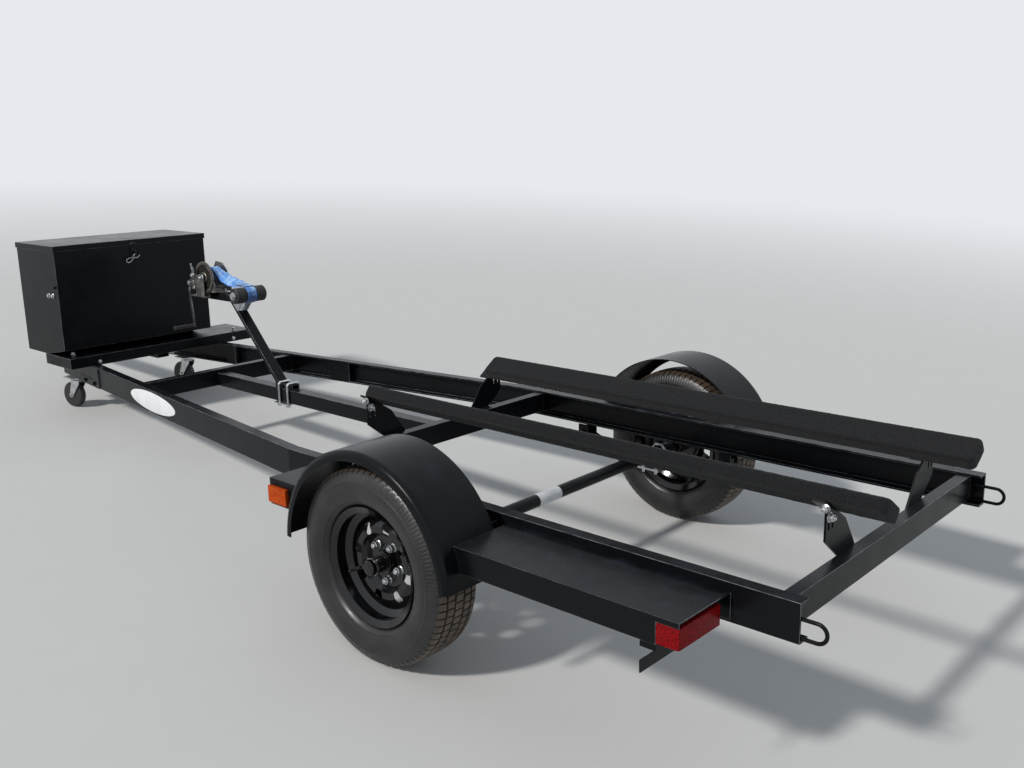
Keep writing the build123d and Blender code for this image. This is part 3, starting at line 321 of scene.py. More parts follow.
edge_highlight_material = painted_edge_highlight()
materials = {
    "black_paint": paint("black_paint", (0.0032, 0.0037, 0.0046), (0.0056, 0.0066, 0.0086),
                         rough=0.27, orange_peel=700.0, specular=0.13),
    "gloss_black": paint("gloss_black", (0.0022, 0.0022, 0.0026), (0.0036, 0.0036, 0.0042),
                         rough=0.12, orange_peel=300.0, specular=0.5),
    "bright_zinc": metal("bright_zinc", (0.42, 0.43, 0.44), (0.66, 0.67, 0.68), 0.30),
    "galvanized": metal("galvanized", (0.30, 0.32, 0.34), (0.50, 0.52, 0.54), 0.46, spangle=90.0),
    "webbing": webbing("webbing", (0.030, 0.15, 0.56), (0.13, 0.40, 0.93), (0.55, 0.80, 1.0)),
    "rubber": rubber("rubber", (0.006, 0.006, 0.0065), (0.012, 0.012, 0.0125), 0.46),
    "tyre": tyre_rubber(),
    "caster_tread": rubber("caster_tread", (0.010, 0.010, 0.011), (0.020, 0.020, 0.020), 0.48),
    "carpet": carpet(),
    "amber_lens": lens("amber_lens", (0.34, 0.034, 0.002), (0.62, 0.105, 0.006)),
    "red_lens": lens("red_lens", (0.12, 0.0015, 0.003), (0.34, 0.004, 0.008)),
}
# Darker copy of the webbing for the turns on the drum: dirt, and painted shade where they sit in shadow.
wound_webbing_dirt_and_shade = webbing("wound_webbing_dirt_and_shade", (0.005, 0.018, 0.09), (0.014, 0.05, 0.20), (0.05, 0.14, 0.42))
gear_zinc = metal("gear_zinc", (0.13, 0.12, 0.105), (0.27, 0.25, 0.22), 0.40, grain=180.0)
dull_zinc = metal("dull_zinc", (0.16, 0.155, 0.145), (0.36, 0.35, 0.33), 0.38, grain=200.0)
web_steel = metal("web_steel", (0.030, 0.027, 0.024), (0.075, 0.068, 0.060), 0.42, grain=200.0)
dark_steel = metal("dark_steel", (0.07, 0.07, 0.072), (0.20, 0.20, 0.205), 0.34, grain=200.0)
white_vinyl = sticker("white_vinyl", (0.74, 0.76, 0.78), (0.84, 0.85, 0.86))
silver_vinyl = sticker("silver_vinyl", (0.50, 0.52, 0.54), (0.68, 0.70, 0.72))


# Forms

class Form:
    """Collects closed skins in level millimetres and makes one piece of them."""

    def __init__(self):
        self.points = []
        self.faces = []

    def skin(self, rings, closed=False):
        """Join rings of equally many points. The ends are capped, or joined when closed."""
        start, count = len(self.points), len(rings[0])
        for ring in rings:
            self.points.extend(tuple(p) for p in ring)
        for i in range(len(rings) if closed else len(rings) - 1):
            a, b = start + i * count, start + (i + 1) % len(rings) * count
            for j in range(count):
                k = (j + 1) % count
                self.faces.append((a + j, a + k, b + k, b + j))
        if not closed:
            self.faces.append(tuple(range(start + count - 1, start - 1, -1)))
            self.faces.append(tuple(range(start + (len(rings) - 1) * count, start + len(rings) * count)))
        return self

    def turned(self, profile, centre, axis, steps, phase=0.0, closed=False):
        """Revolve points given as (along the axis, radius)."""
        axis = Vector(axis).normalized()
        u = Vector((0, 0, 1)) if abs(axis.z) < 0.9 else Vector((1, 0, 0))
        u = (u - axis * u.dot(axis)).normalized()
        v = axis.cross(u)
        rings = []
        for along, radius in profile:
            ring = []
            for k in range(steps):
                t = phase + 2 * math.pi * k / steps
                ring.append(Vector(centre) + axis * along + (u * math.cos(t) + v * math.sin(t)) * radius)
            rings.append(ring)
        return self.skin(rings, closed)

    def bolt(self, centre, axis, size, tail=0.0):
        """Bolt or nut of a size (width over the flats, height, washer's radius) and its threaded tail."""
        across, height, washer = size
        foot, chamfer, pitch, thread = 1.8, 0.86, 1.5, 0.29
        self.turned([(0, washer), (1.6, washer), (2.0, washer - 0.4)], centre, axis, 28)
        corner = across / math.sqrt(3)
        self.turned([(foot, corner), (foot + height * chamfer, corner), (foot + height, corner * chamfer)],
                    centre, axis, 6, phase=0.3)
        if tail:
            r = across * thread
            turns = []
            z = height
            while z < height + tail:
                turns += [(z, r), (z + 0.7, r * 0.88), (z + 1.4, r)]
                z += pitch
            self.turned(turns + [(z + 0.8, r * 0.8)], centre, axis, 16)

    def tube(self, path, radius, steps=12):
        """Round rod along places. The radius is one number, or a list with one for each place."""
        path = [Vector(p) for p in path]
        rings = []
        across = None
        for i, p in enumerate(path):
            ahead = (path[min(i + 1, len(path) - 1)] - path[max(i - 1, 0)]).normalized()
            if across is None:
                across = ahead.orthogonal()
            across = (across - ahead * across.dot(ahead)).normalized()
            up = ahead.cross(across)
            r = radius[i] if isinstance(radius, list) else radius
            rings.append([p + (across * math.cos(2 * math.pi * k / steps)
                               + up * math.sin(2 * math.pi * k / steps)) * r for k in range(steps)])
        return self.skin(rings)

    def weld(self, start, end, radius):
        """Weld bead: overlapping ripples along a line."""
        ripple = 1.7
        start, end = Vector(start), Vector(end)
        length = (end - start).length
        count = max(4, int(length / ripple))
        path = [start.lerp(end, i / count) for i in range(count + 1)]
        swell = [radius * (0.86 + 0.16 * math.cos(i * 2.1)) for i in range(count + 1)]
        swell[0] = swell[-1] = radius * 0.45
        self.tube(path, swell, 8)

    def slab(self, outline, offset):
        """Flat plate from an outline of places, pushed along an offset."""
        ring = [Vector(p) for p in outline]
        self.skin([ring, [p + Vector(offset) for p in ring]])

    def make(self, name, slot, body="chassis", stands_for=(), material=None, smooth=32.0, bevel=0.0):
        """Make one piece: its body, its slot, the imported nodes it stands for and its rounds."""
        mesh = bpy.data.meshes.new(name)
        mesh.from_pydata([level @ Vector([c * mm for c in p]) for p in self.points], [], self.faces)
        shape = bmesh.new()
        shape.from_mesh(mesh)
        bmesh.ops.recalc_face_normals(shape, faces=shape.faces)
        shape.to_mesh(mesh)
        shape.free()
        mesh.shade_smooth()
        mesh.set_sharp_from_angle(angle=math.radians(smooth))
        mesh.materials.append(material or materials[slot])
        piece = bpy.data.objects.new(name, mesh)
        bpy.context.scene.collection.objects.link(piece)
        if bevel:
            soften(piece, bevel)
        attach(piece, body)
        if stands_for:
            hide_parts(*stands_for)
        return piece


def soften(piece, width, clamp=True):
    """Small round on a piece's sharp edges, given in millimetres, so that they catch the light."""
    bevel = piece.modifiers.new("edges", "BEVEL")
    bevel.width = width * mm
    bevel.segments = 2
    bevel.limit_method = "ANGLE"
    bevel.angle_limit = math.radians(40.0)
    bevel.harden_normals = True
    bevel.use_clamp_overlap = clamp


def on_circle(centre, radius, turn):
    """Place (x, z) on a circle round a centre, at a turn in degrees."""
    t = math.radians(turn)
    return centre[0] + radius * math.cos(t), centre[1] + radius * math.sin(t)


def smooth_line(points, steps):
    """Places along a Catmull-Rom curve through the points."""
    ends = [Vector(points[0]) * 2 - Vector(points[1])] + [Vector(p) for p in points]
    ends.append(Vector(points[-1]) * 2 - Vector(points[-2]))
    line = []
    for i in range(1, len(ends) - 2):
        a, b, c, d = ends[i - 1:i + 3]
        for k in range(steps):
            t = k / steps
            line.append(0.5 * (b * 2 + (c - a) * t + (a * 2 - b * 5 + c * 4 - d) * t * t
                               + (b * 3 - a - c * 3 + d) * t ** 3))
    line.append(ends[-2])
    return line


# Tyres. The tread repeats round the tyre, and its cuts lie at shares of each repeat.
tread_periods = 76
period_steps = (0.0, 0.035, 0.17, 0.205, 0.5, 0.535, 0.67, 0.705)
first_cut = (0.035, 0.17)
second_cut = (0.535, 0.67)
plain, shoulder, rib, serration, buttress = range(5)
cut_depth = {shoulder: 4.6, rib: 3.4, serration: 0.9, buttress: 3.0}

# Grooves run round the tyre at these places across it, on both sides of its middle
groove_places = (46.0, 17.0)
groove_half = 3.5
groove_slope = 0.8
groove_depth = 6.4

# From the bead out over the sidewall to the shoulder: (across, radius) by kind
wall_section = (
    (plain, ((60.0, 184.5), (66.5, 187.0), (72.5, 192.0), (75.8, 196.5), (77.4, 199.0), (78.8, 199.6),
             (79.6, 201.6), (80.2, 203.8), (82.6, 210.0), (85.6, 220.0), (87.3, 229.0), (88.2, 238.0),
             (88.0, 246.0), (86.9, 253.0), (87.2, 254.0), (87.0, 256.2), (85.9, 257.2))),
    (serration, ((84.8, 262.0), (82.4, 269.0), (79.6, 276.0), (77.0, 281.5))),
    (buttress, ((74.6, 286.0), (71.4, 290.4))),
    (shoulder, ((67.6, 293.6), (62.0, 295.4), (56.0, 296.6), (49.9, 297.6))),
)
inner_section = ((-52.0, 172.0), (-20.0, 170.5), (20.0, 170.5), (52.0, 172.0))


def tread_radius(across):
    """Radius of the slightly crowned tread."""
    return 299.9 - 2.4 * (across / 50.0) ** 2


def tyre_section():
    """Points (across, radius, kind) round the tyre's section; the kind says how the tread cuts it."""
    outer = [(w, r, kind) for kind, places in wall_section for w, r in places]
    for w in groove_places:
        outermost = w == groove_places[0]
        bottom = tread_radius(w) - groove_depth
        outer += [(w + groove_half, tread_radius(w + groove_half), shoulder if outermost else rib),
                  (w + groove_half - groove_slope, bottom, plain),
                  (w - groove_half + groove_slope, bottom, plain),
                  (w - groove_half, tread_radius(w - groove_half), rib)]
        if outermost:
            outer += [(between, tread_radius(between), rib) for between in (36.0, 27.0)]
    outer += [(w, tread_radius(w), rib) for w in (9.0, 0.0)]
    mirror = [(-w, r, kind) for w, r, kind in reversed(outer[:-1])]
    return outer + mirror


def tread_cut(kind, across, share):
    """Depth of the tread's cuts at a share of one repeat."""
    if kind == plain:
        return 0.0
    middle_rib = kind == rib and abs(across) < groove_places[1] - 2
    cuts = [second_cut] if middle_rib else [first_cut]
    if kind == serration:
        cuts = [first_cut, second_cut]
    cut = any(low <= share <= high for low, high in cuts)
    return cut_depth[kind] if cut else 0.0


def make_tyre(side, name):
    """Tyre with its tread and the serrations of its sidewalls."""
    form = Form()
    section = tyre_section() + [(w, r, plain) for w, r in inner_section]
    rings = []
    for p in range(tread_periods):
        for share in period_steps:
            t = 2 * math.pi * (p + share) / tread_periods
            ring = []
            for w, r, kind in section:
                d = r - tread_cut(kind, w, share)
                ring.append((d * math.cos(t), side * wheel_y + w, wheel_z + d * math.sin(t)))
            rings.append(ring)
    form.skin(rings, closed=True)
    return form.make("tyre_" + name + "_rubber", "tyre", "wheel_" + name, ("tyre_" + name,), smooth=28)


def make_wheel_trim(side, name):
    """Valve stem and its cap on a wheel."""
    circle, turn, rise, lean = 128.0, -23, 12, 0.25
    x, z = on_circle((0, wheel_z), circle, turn)
    foot = (x, side * (wheel_y + rise), z)
    x, z = on_circle((0, 0), lean, turn)
    out = (x, side, z)
    stem = ((-6, 8.0), (2, 7.6), (6, 5.6), (22, 4.2), (24, 4.2))
    cap = ((24, 4.6), (25, 4.9), (33, 4.9), (34.4, 3.6))
    Form().turned(stem, foot, out, 20).make("valve_stem_" + name, "rubber", "wheel_" + name)
    Form().turned(cap, foot, out, 16).make("valve_cap_" + name, "rubber", "wheel_" + name)


# Bunks: the middle (y, z) and half sizes (wide, thick) of the carpeted board
bunk_mid = (293.0, 614.0)
bunk_tilt = math.radians(34.0)
bunk_half = (46.5, 21.75)
bunk_rear = -1288.0
bunk_front = {"left": 608.0, "right": 583.0}
bunk_edge = 9.5
bunk_point_gap = 5.5
bunk_spans = 420
end_places = (0, 1.2, 3.6, 7, 11, 15.5)


def bunk_section():
    """Points (wide, thick) round the board, with rounded edges."""
    corners = []
    for cx, cy, start in ((1, 1, 0), (-1, 1, 90), (-1, -1, 180), (1, -1, 270)):
        for k in range(6):
            t = math.radians(start + 18 * k)
            corners.append((cx * (bunk_half[0] - bunk_edge) + bunk_edge * math.cos(t),
                            cy * (bunk_half[1] - bunk_edge) + bunk_edge * math.sin(t)))
    section = []
    for i, p in enumerate(corners):
        q = corners[(i + 1) % len(corners)]
        n = max(1, round(math.dist(p, q) / bunk_point_gap))
        section += [(p[0] + (q[0] - p[0]) * k / n, p[1] + (q[1] - p[1]) * k / n) for k in range(n)]
    return section


def quarter_round(reach, depth, near_end):
    """How far a quarter round draws the skin in at a place near the end."""
    if near_end >= reach:
        return 0.0
    return depth * (1 - math.sqrt(max(0.0, 1 - ((reach - near_end) / reach) ** 2)))


def make_bunk(side, name):
    """Board wrapped in carpet: rounded edges, tucked ends, a lapped seam below and a napped skin."""
    form = Form()
    section = bunk_section()
    length = bunk_front[name] - bunk_rear
    first_span = 19
    places = list(end_places)
    places += [first_span + (length - 2 * first_span) * k / bunk_spans for k in range(bunk_spans + 1)]
    places += [length - s for s in reversed(end_places)]
    skin = 0.6
    end_round, end_pull, end_corner = 9, 5.0, 18
    rings = []
    for s in places:
        near_end = min(s, length - s)
        pull = quarter_round(end_round, end_pull, near_end)
        corner = quarter_round(end_corner, end_corner, near_end)
        scale_u = (bunk_half[0] - max(pull, corner) - skin) / bunk_half[0]
        scale_v = (bunk_half[1] - pull - skin) / bunk_half[1]
        ring = []
        for u, v in section:
            a, b = u * scale_u, v * scale_v
            here = Vector((s * 0.09, a * 0.16, b * 0.16 + side * 7))
            swell = 0.7 * noise.noise(here) + 0.8 * noise.noise(here * 3.1)
            away = Vector((u / bunk_half[0], v / bunk_half[1])).normalized()
            a += away.x * swell
            b += away.y * swell
            in_seam = v < -bunk_half[1] + 2 and -8 < u < 6
            if in_seam:
                b -= 0.9
            y = bunk_mid[0] + a * math.cos(bunk_tilt) - b * math.sin(bunk_tilt)
            z = bunk_mid[1] + a * math.sin(bunk_tilt) + b * math.cos(bunk_tilt)
            ring.append((bunk_rear + s, side * y, z))
        rings.append(ring)
    form.skin(rings)
    return form.make("bunk_" + name + "_carpet", "carpet", "chassis", ("bunk_" + name,), smooth=75)


# Winch strap: its section, the loop round the rollers' pin, the turns on the drum, and the
# radius at which it leaves them
strap_half = 23.4
strap_wall = 2.2
strap_columns = 12
loop_radius = 36.5
first_turn = 15.5
strap_turns = 9
turn_pitch = 3.1
turn_wall = 2.6
leave_radius = 42.6


def share_of(value, start, end):
    """How far a value has come from start to end, from 0 to 1."""
    return max(0.0, min(1.0, (value - start) / (end - start)))


def strap_rings(path, lift):
    """Rings of the strap's flat section along places (x, z), with a lift of each edge."""
    rings = []
    for i, (x, z) in enumerate(path):
        ax, az = path[max(i - 1, 0)]
        bx, bz = path[min(i + 1, len(path) - 1)]
        run = math.hypot(bx - ax, bz - az) or 1.0
        nx, nz = -(bz - az) / run, (bx - ax) / run
        if nz < 0 and abs(nz) > abs(nx) * 0.2:
            nx, nz = -nx, -nz
        upper, lower = [], []
        for k in range(strap_columns + 1):
            y = strap_half * (2 * k / strap_columns - 1)
            h = lift(i, y)
            edge = 0.55 if k in (0, strap_columns) else 1.0
            half = edge * strap_wall / 2
            upper.append((x + nx * (h + half), y, z + nz * (h + half)))
            lower.append((x + nx * (h - half), y, z + nz * (h - half)))
        rings.append(upper + lower[::-1])
    return rings


def make_wound_strap():
    """Turns of the strap on the drum, each a little off the last one's edge."""
    wound = Form()
    for turn in range(strap_turns):
        inner = first_turn + turn * turn_pitch
        outer = inner + turn_wall
        half = strap_half - 0.5 * ((turn * 7) % 3)
        off = 0.15 * ((turn * 5) % 4)
        wound.turned([(-half, inner), (-half, outer - 0.4), (-half + 0.5, outer), (half - 0.5, outer),
                      (half, outer - 0.4), (half, inner)],
                     (drum[0], off, drum[1]), (0, 1, 0), 72, closed=True)
    wound.make("strap_wound", "webbing", material=wound_webbing_dirt_and_shade)


def make_strap_run():
    """Slack run from the drum to the rollers' pin, and the loop round its sleeve."""
    leave = post_lean / 2
    start = (drum[0] - leave_radius * math.sin(leave), drum[1] + leave_radius * math.cos(leave))
    knots = [(start[0] + 15, 0, start[1] + 4), (start[0], 0, start[1]), (1996, 0, 918),
             (1950, 0, 892.5), (1885, 0, 878.5), (1835, 0, 873), (1800, 0, 872.6),
             (roller[0], 0, roller[1] + loop_radius)]
    line = [(p.x, p.z) for p in smooth_line(knots, 9)]
    line += [on_circle(roller, loop_radius, 90 + 7.5 * k) for k in range(1, 25)]

    def lift(i, y):
        """Twist, crown and wrinkles, which die out at the drum and at the loop."""
        x = line[i][0]
        free = share_of(x, 2018, 1978) * share_of(x, 1792, 1822)
        twist = -0.62 * y * free * math.sin(math.pi * share_of(x, 2030, 1790))
        crown = 2.2 * free * math.cos(math.pi * y / (2 * strap_half))
        wrinkle = free * (1.5 * math.sin(x * 0.12 + y * 0.09) + 0.9 * math.sin(x * 0.31 - y * 0.13))
        return twist + crown * 0.8 + wrinkle

    Form().skin(strap_rings(line, lift)).make("strap_run", "webbing", "chassis", ("winch_strap",), smooth=50)


def make_strap_end():
    """Sewn end that lies on the run behind the loop, with its rows of stitches."""
    knots = [(roller[0] - 12, 0, roller[1] + 38.5), (1800, 0, 876.4), (1835, 0, 877.2), (1866, 0, 880.4)]
    tail = [(p.x, p.z) for p in smooth_line(knots, 8)]
    over = strap_rings(tail, lambda i, y: 0.4 * math.sin(i * 1.3))
    Form().skin(over).make("strap_sewn_end", "webbing")
    thread = Form()
    first_x, pitch, stitch = 1806, 5.2, 1.6
    for y in (-17.0, -8.5, 0.0, 8.5, 17.0):
        for k in range(11):
            x = first_x + k * pitch
            z = 877.9 + max(0.0, (x - 1835) * 0.1)
            thread.tube([(x, y, z), (x + stitch, y, z + 0.7), (x + 2 * stitch, y, z)], 0.6, 6)
    thread.make("strap_stitches", "webbing", material=materials["carpet"])


# Bow rollers: faces across the trailer, tread radius and middles of the grooves
roller_faces = (28.6, 76.4)
roller_radius = 34.9
roller_bore = 8.6
roller_grooves = (40.0, 52.5, 65.0)


def make_rollers():
    """Grooved rubber rollers with a recess in each face."""
    y0, y1 = roller_faces
    face = ((0, roller_bore), (0, 17.5), (1.5, 19.5), (1.5, 28), (0, 29.5), (0, 31.5), (3.5, roller_radius))
    profile = [(y0 + depth, r) for depth, r in face]
    for g in roller_grooves:
        profile += [(g - 2.6, roller_radius), (g - 1.8, 33.0), (g + 1.8, 33.0), (g + 2.6, roller_radius)]
    profile += [(y1 - depth, r) for depth, r in reversed(face)]
    for side, name in ((1, "left"), (-1, "right")):
        form = Form()
        form.turned(profile, (roller[0], 0, roller[1]), (0, side, 0), 72, closed=True)
        form.make("bow_roller_" + name + "_rubber", "rubber", "bow_roller_" + name + "_body",
                  ("bow_roller_" + name,), smooth=30)


def prism_face(form, corner, along, across, counts, depth, out):
    """Patch of small pyramids standing on a lens face."""
    corner, along, across, out = Vector(corner), Vector(along), Vector(across), Vector(out)
    filled, tip, root = 0.94, 0.12, 0.4
    for i in range(counts[0]):
        for j in range(counts[1]):
            a, b = i / counts[0], j / counts[1]
            c, d = (i + filled) / counts[0], (j + filled) / counts[1]
            base = [corner + along * u + across * v for u, v in ((a, b), (c, b), (c, d), (a, d))]
            top = corner + along * ((a + c) / 2) + across * ((b + d) / 2) + out * depth
            small = [top + (p - top) * tip for p in (q + out * depth for q in base)]
            form.skin([[p - out * root for p in base], base, small])


def make_marker(side, name):
    """Prisms on an amber marker lens."""
    x, y, z = 447, 812, 377
    long, high = 86, 44
    form = Form()
    prism_face(form, (x, side * y, z), (long, 0, 0), (0, 0, high), (17, 9), 0.9, (0, side, 0))
    form.make("marker_prisms_" + name, "amber_lens", smooth=10)


def make_tail_lamp(side, name):
    """Red lens body, prisms on its two open faces, and its black base."""
    x0, x1, y0, y1, z0, z1 = -1036.0, -973.4, 653.0, 827.6, 376.0, 430.0
    rounding, base_top = 1.6, 441.6
    ring = [(x1, y1), (x1, y0), (x0 + 1.5, y0), (x0, y0 + 1.5), (x0, y1 - 6), (x0 + 1.8, y1 - 1.8),
            (x0 + 6, y1)]
    low = [Vector((x, side * y, z0 + rounding)) for x, y in ring]
    mid = Vector(((x0 + x1) / 2, side * (y0 + y1) / 2, 0))
    inset = [Vector((mid.x + (p.x - mid.x) * 0.955, mid.y + (p.y - mid.y) * 0.982, z0)) for p in low]
    high = [Vector((p.x, p.y, z1 - rounding)) for p in low]
    lid = [Vector((p.x, p.y, z1)) for p in inset]
    Form().skin([inset, low, high, lid]).make("tail_lamp_lens_" + name, "red_lens", smooth=40, bevel=0.8)
    prisms = Form()
    prism_face(prisms, (x0 + 0.2, side * (y0 + 9), z0 + 5), (0, side * 156, 0), (0, 0, 44), (30, 9), 0.6,
               (-0.2, 0, 0))
    prism_face(prisms, (x0 + 9, side * (y1 - 0.2), z0 + 5), (48, 0, 0), (0, 0, 44), (9, 9), 0.6,
               (0, side * 0.4, 0))
    prisms.make("tail_lamp_prisms_" + name, "red_lens", smooth=10)
    foot = [(x1 - 12, y1 - 14), (x1 - 12, y0 + 12), (x0 + 12, y0 + 12), (x0 + 12, y1 - 14)]
    base = Form()
    base.skin([[Vector((x, side * y, z)) for x, y in foot] for z in (z1 - 1, base_top)])
    return base.make("tail_lamp_base_" + name, "red_lens", material=materials["rubber"], bevel=1.0)


def make_lenses():
    """Markers and tail lamps on both sides. The left lamp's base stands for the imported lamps."""
    for side, name in ((1, "left"), (-1, "right")):
        make_marker(side, name)
        lamp_base = make_tail_lamp(side, name)
        if side > 0:
            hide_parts("tail_lamps")


# Bolts and nuts, and the faces that they sit on
rail_bolt_out = 6
platform_rear = 2572
platform_top = 517
box_sides = (477, -309)
outer_plate = 65
far_plate = -46
winch_base_drop = 64
bracket_rears = (-1143, 583)
bracket_wall = 6
bracket_side = 345
clamp_bottom = 379
toe_slope = 0.125


def make_platform_bolts():
    """Black bolts on the outer faces of the rails, and zinc ones in the platform."""
    black = Form()
    for x in (2687, 2568):
        for side in (1, -1):
            black.bolt((x, side * (rail_y(x) + rail_bolt_out), 383), (toe_slope, side, 0), (13, 7, 11))
    black.make("rail_bolts", "black_paint")
    zinc = Form()
    for y in (333, -409):
        zinc.bolt((platform_rear, y, 484), (-1, 0, 0), (12, 7, 9))
    for x, y in ((2680, 410), (2623, -446)):
        zinc.bolt((x, y, platform_top), (0, 0, 1), (15, 11, 13))
    zinc.make("platform_bolts", "bright_zinc")


def make_box_bolts():
    """Two bolts in each end of the tool box, and the round catch at its near corner."""
    ends = Form()
    for x, z in ((2714, 807), (2674, 809)):
        for y, way in ((box_sides[0], 1), (box_sides[1], -1)):
            ends.bolt((x, y, z), (0, way, 0), (15, 7, 12))
    ends.make("toolbox_bolts", "bright_zinc")
    catch = ((0, 6.5), (2, 6.5), (2, 4), (7, 4), (8, 7), (11, 7), (12, 5.6))
    Form().turned(catch, (2640, box_sides[0], 850), (0, 1, 0), 24).make("toolbox_catch", "black_paint")


def make_winch_bolts():
    """Nuts on the drum's shaft, the plates' bolts and the four that hold the winch down."""
    winch = Form()
    x0, z0 = drum
    winch.bolt((x0, outer_plate, z0), (0, 1, 0), (19, 9, 14), tail=7)
    winch.bolt((x0 + 72, outer_plate, z0 - 50), (0, 1, 0), (13, 7, 10))
    for dx, dz in ((-48, -58), (78, -58), (78, -10)):
        winch.bolt((x0 + dx, far_plate, z0 + dz), (0, -1, 0), (13, 7, 10))
    winch.bolt((x0, far_plate, z0), (0, -1, 0), (19, 10, 14), tail=6)
    for dx in (-40, 60):
        for y in (-28, 28):
            winch.bolt((x0 + dx, y, z0 - winch_base_drop), (0, 0, 1), (14, 7, 11))
    winch.make("winch_bolts", "bright_zinc")


def make_clamp_bolts():
    """Nuts under the post's clamps, and the bolts of the bunk brackets."""
    clamps = Form()
    for x in (1498, 1558):
        for side in (-1, 1):
            clamps.bolt((x, side * 30.8, clamp_bottom), (0, 0, -1), (18, 10, 14))
    clamps.make("post_clamp_washers", "bright_zinc")
    brackets = Form()
    for x in bracket_rears:
        for side in (-1, 1):
            brackets.bolt((x + bracket_wall, side * 165, 430), (1, 0, 0), (18, 10, 15))
            brackets.bolt((x, side * 330, 577), (-1, 0, 0), (19, 11, 14), tail=5)
            middle = x + bracket_wall / 2
            brackets.bolt((middle, side * bracket_side, 603), (0, side, 0), (17, 10, 12), tail=9)
    brackets.make("bunk_bracket_bolts", "bright_zinc")


# Winch gears: faces across the trailer, sizes, and turns in degrees at which the teeth mesh
gear_faces = (47.2, 54.8)
gear_radius = 72.4
gear_teeth = 40
gear_turn = -26.433
pinion = (2130.0, 869.79)
pinion_radius = 15.4
pinion_teeth = 10
pinion_turn = 148.617
shaft_radius = 7.6


def toothed(form, radius, teeth, inner, centre, turn):
    """Ring with straight-flanked teeth, from an inner radius to the tips."""
    root = radius - 2 * math.pi * radius / teeth * 0.45
    y0, y1 = gear_faces
    x, z = centre
    rings = []
    for i in range(teeth):
        for share, r in ((0.0, root), (0.22, radius), (0.48, radius), (0.70, root)):
            t = math.radians(turn + 360 * (i + share) / teeth)
            c, d = math.cos(t), math.sin(t)
            rings.append([(x + a * c, y, z + a * d) for a, y in ((inner, y0), (r, y0), (r, y1), (inner, y1))])
    form.skin(rings, closed=True)


def make_gear():
    """Toothed rim and hub, and the darker pressed web between them with its five rivets."""
    centre = (drum[0], 0, drum[1])
    gear = Form()
    toothed(gear, gear_radius, gear_teeth, 58.0, drum, gear_turn)
    gear.turned([(46.4, 9), (46.4, 22), (47.4, 23), (55.0, 23), (56.4, 21), (56.4, 9)],
                centre, (0, 1, 0), 40, closed=True)
    gear.make("winch_gear_rim", "bright_zinc", stands_for=("winch_gear",), material=gear_zinc, smooth=25)
    web = Form()
    web.turned([(49.0, 21), (49.0, 59.5), (51.4, 59.5), (51.4, 54), (52.6, 52), (52.6, 30), (51.4, 28),
                (51.4, 21)], centre, (0, 1, 0), 56, closed=True)
    rivet_circle = 41
    for k in range(5):
        x, z = on_circle(drum, rivet_circle, 72 * k + 20)
        web.turned([(51.8, 4.6), (53.4, 4.6), (54.0, 4.0)], (x, 0, z), (0, 1, 0), 20)
    web.make("winch_gear_web", "bright_zinc", material=web_steel, smooth=25)


def make_pinion():
    """Pinion with its shaft, and the collar and nut that hold the crank on it."""
    centre = (pinion[0], 0, pinion[1])
    shaft = Form()
    toothed(shaft, pinion_radius, pinion_teeth, 7.4, pinion, pinion_turn)
    shaft.turned([(43, 6.8), (43.6, shaft_radius), (80, shaft_radius), (81.4, 6.6)], centre, (0, 1, 0), 28)
    shaft.make("winch_pinion", "bright_zinc", stands_for=("winch_crank",), material=dull_zinc, smooth=25)
    nut = Form()
    nut.turned([(65.4, 12.2), (67, 12.4), (67, 9)], centre, (0, 1, 0), 24)
    nut.turned([(82.0, 10.4), (87.5, 10.4), (89, 9.2)], centre, (0, 1, 0), 6, phase=math.pi / 6)
    nut.make("winch_crank_nut", "bright_zinc")


def make_crank():
    """Flat bar bent outwards and hanging down, with a waisted grip at its end."""
    bend = [(2130, 79.5, 884), (2130, 79.5, 868), (2124, 84, 850), (2118, 92.5, 838), (2114, 93.5, 815),
            (2104, 93.5, 730), (2100, 93.5, 668)]
    section = ((-1, -0.6), (-0.9, -1), (0.9, -1), (1, -0.6), (1, 0.6), (0.9, 1), (-0.9, 1), (-1, 0.6))
    half_width, end_width, half_wall = 7.5, 6.0, 2.3
    line = smooth_line(bend, 6)
    rings = []
    for i, place in enumerate(line):
        ahead = (line[min(i + 1, len(line) - 1)] - line[max(i - 1, 0)]).normalized()
        wide = Vector((1, 0, 0))
        wide = (wide - ahead * wide.dot(ahead)).normalized()
        thin = ahead.cross(wide)
        w = half_width if 2 < i < len(line) - 3 else end_width
        rings.append([place + wide * w * a + thin * half_wall * b for a, b in section])
    Form().skin(rings).make("winch_crank_arm", "bright_zinc", material=dark_steel, smooth=40)
    grip = ((95.6, 5.6), (96, 9.5), (98.5, 10.2), (101, 8.2), (110, 7.0), (132, 7.8), (155, 7.8), (184, 7.0),
            (191, 8.4), (194, 10.2), (196.4, 9.2), (197, 6))
    Form().turned(grip, (2100, 0, 677), (0, 1, 0), 32).make("winch_crank_grip", "rubber")


def make_pawl():
    """Pawl lever with its bolt and an upright thumb pin."""
    face, wall = 66.2, 3.4
    outline = ((2124, 938), (2112, 940), (2104, 916), (2112, 893), (2122, 893), (2128, 916))
    lever = Form()
    lever.slab([(x, face, z) for x, z in outline], (0, wall, 0))
    lever.bolt((2116, face + wall, 903), (0, 1, 0), (15, 8, 11), tail=4)
    lever.tube(smooth_line([(2119, 70, 932), (2118, 73, 944), (2116, 76, 957)], 5), 4.2)
    lever.make("winch_pawl_lever", "bright_zinc", bevel=0.6)


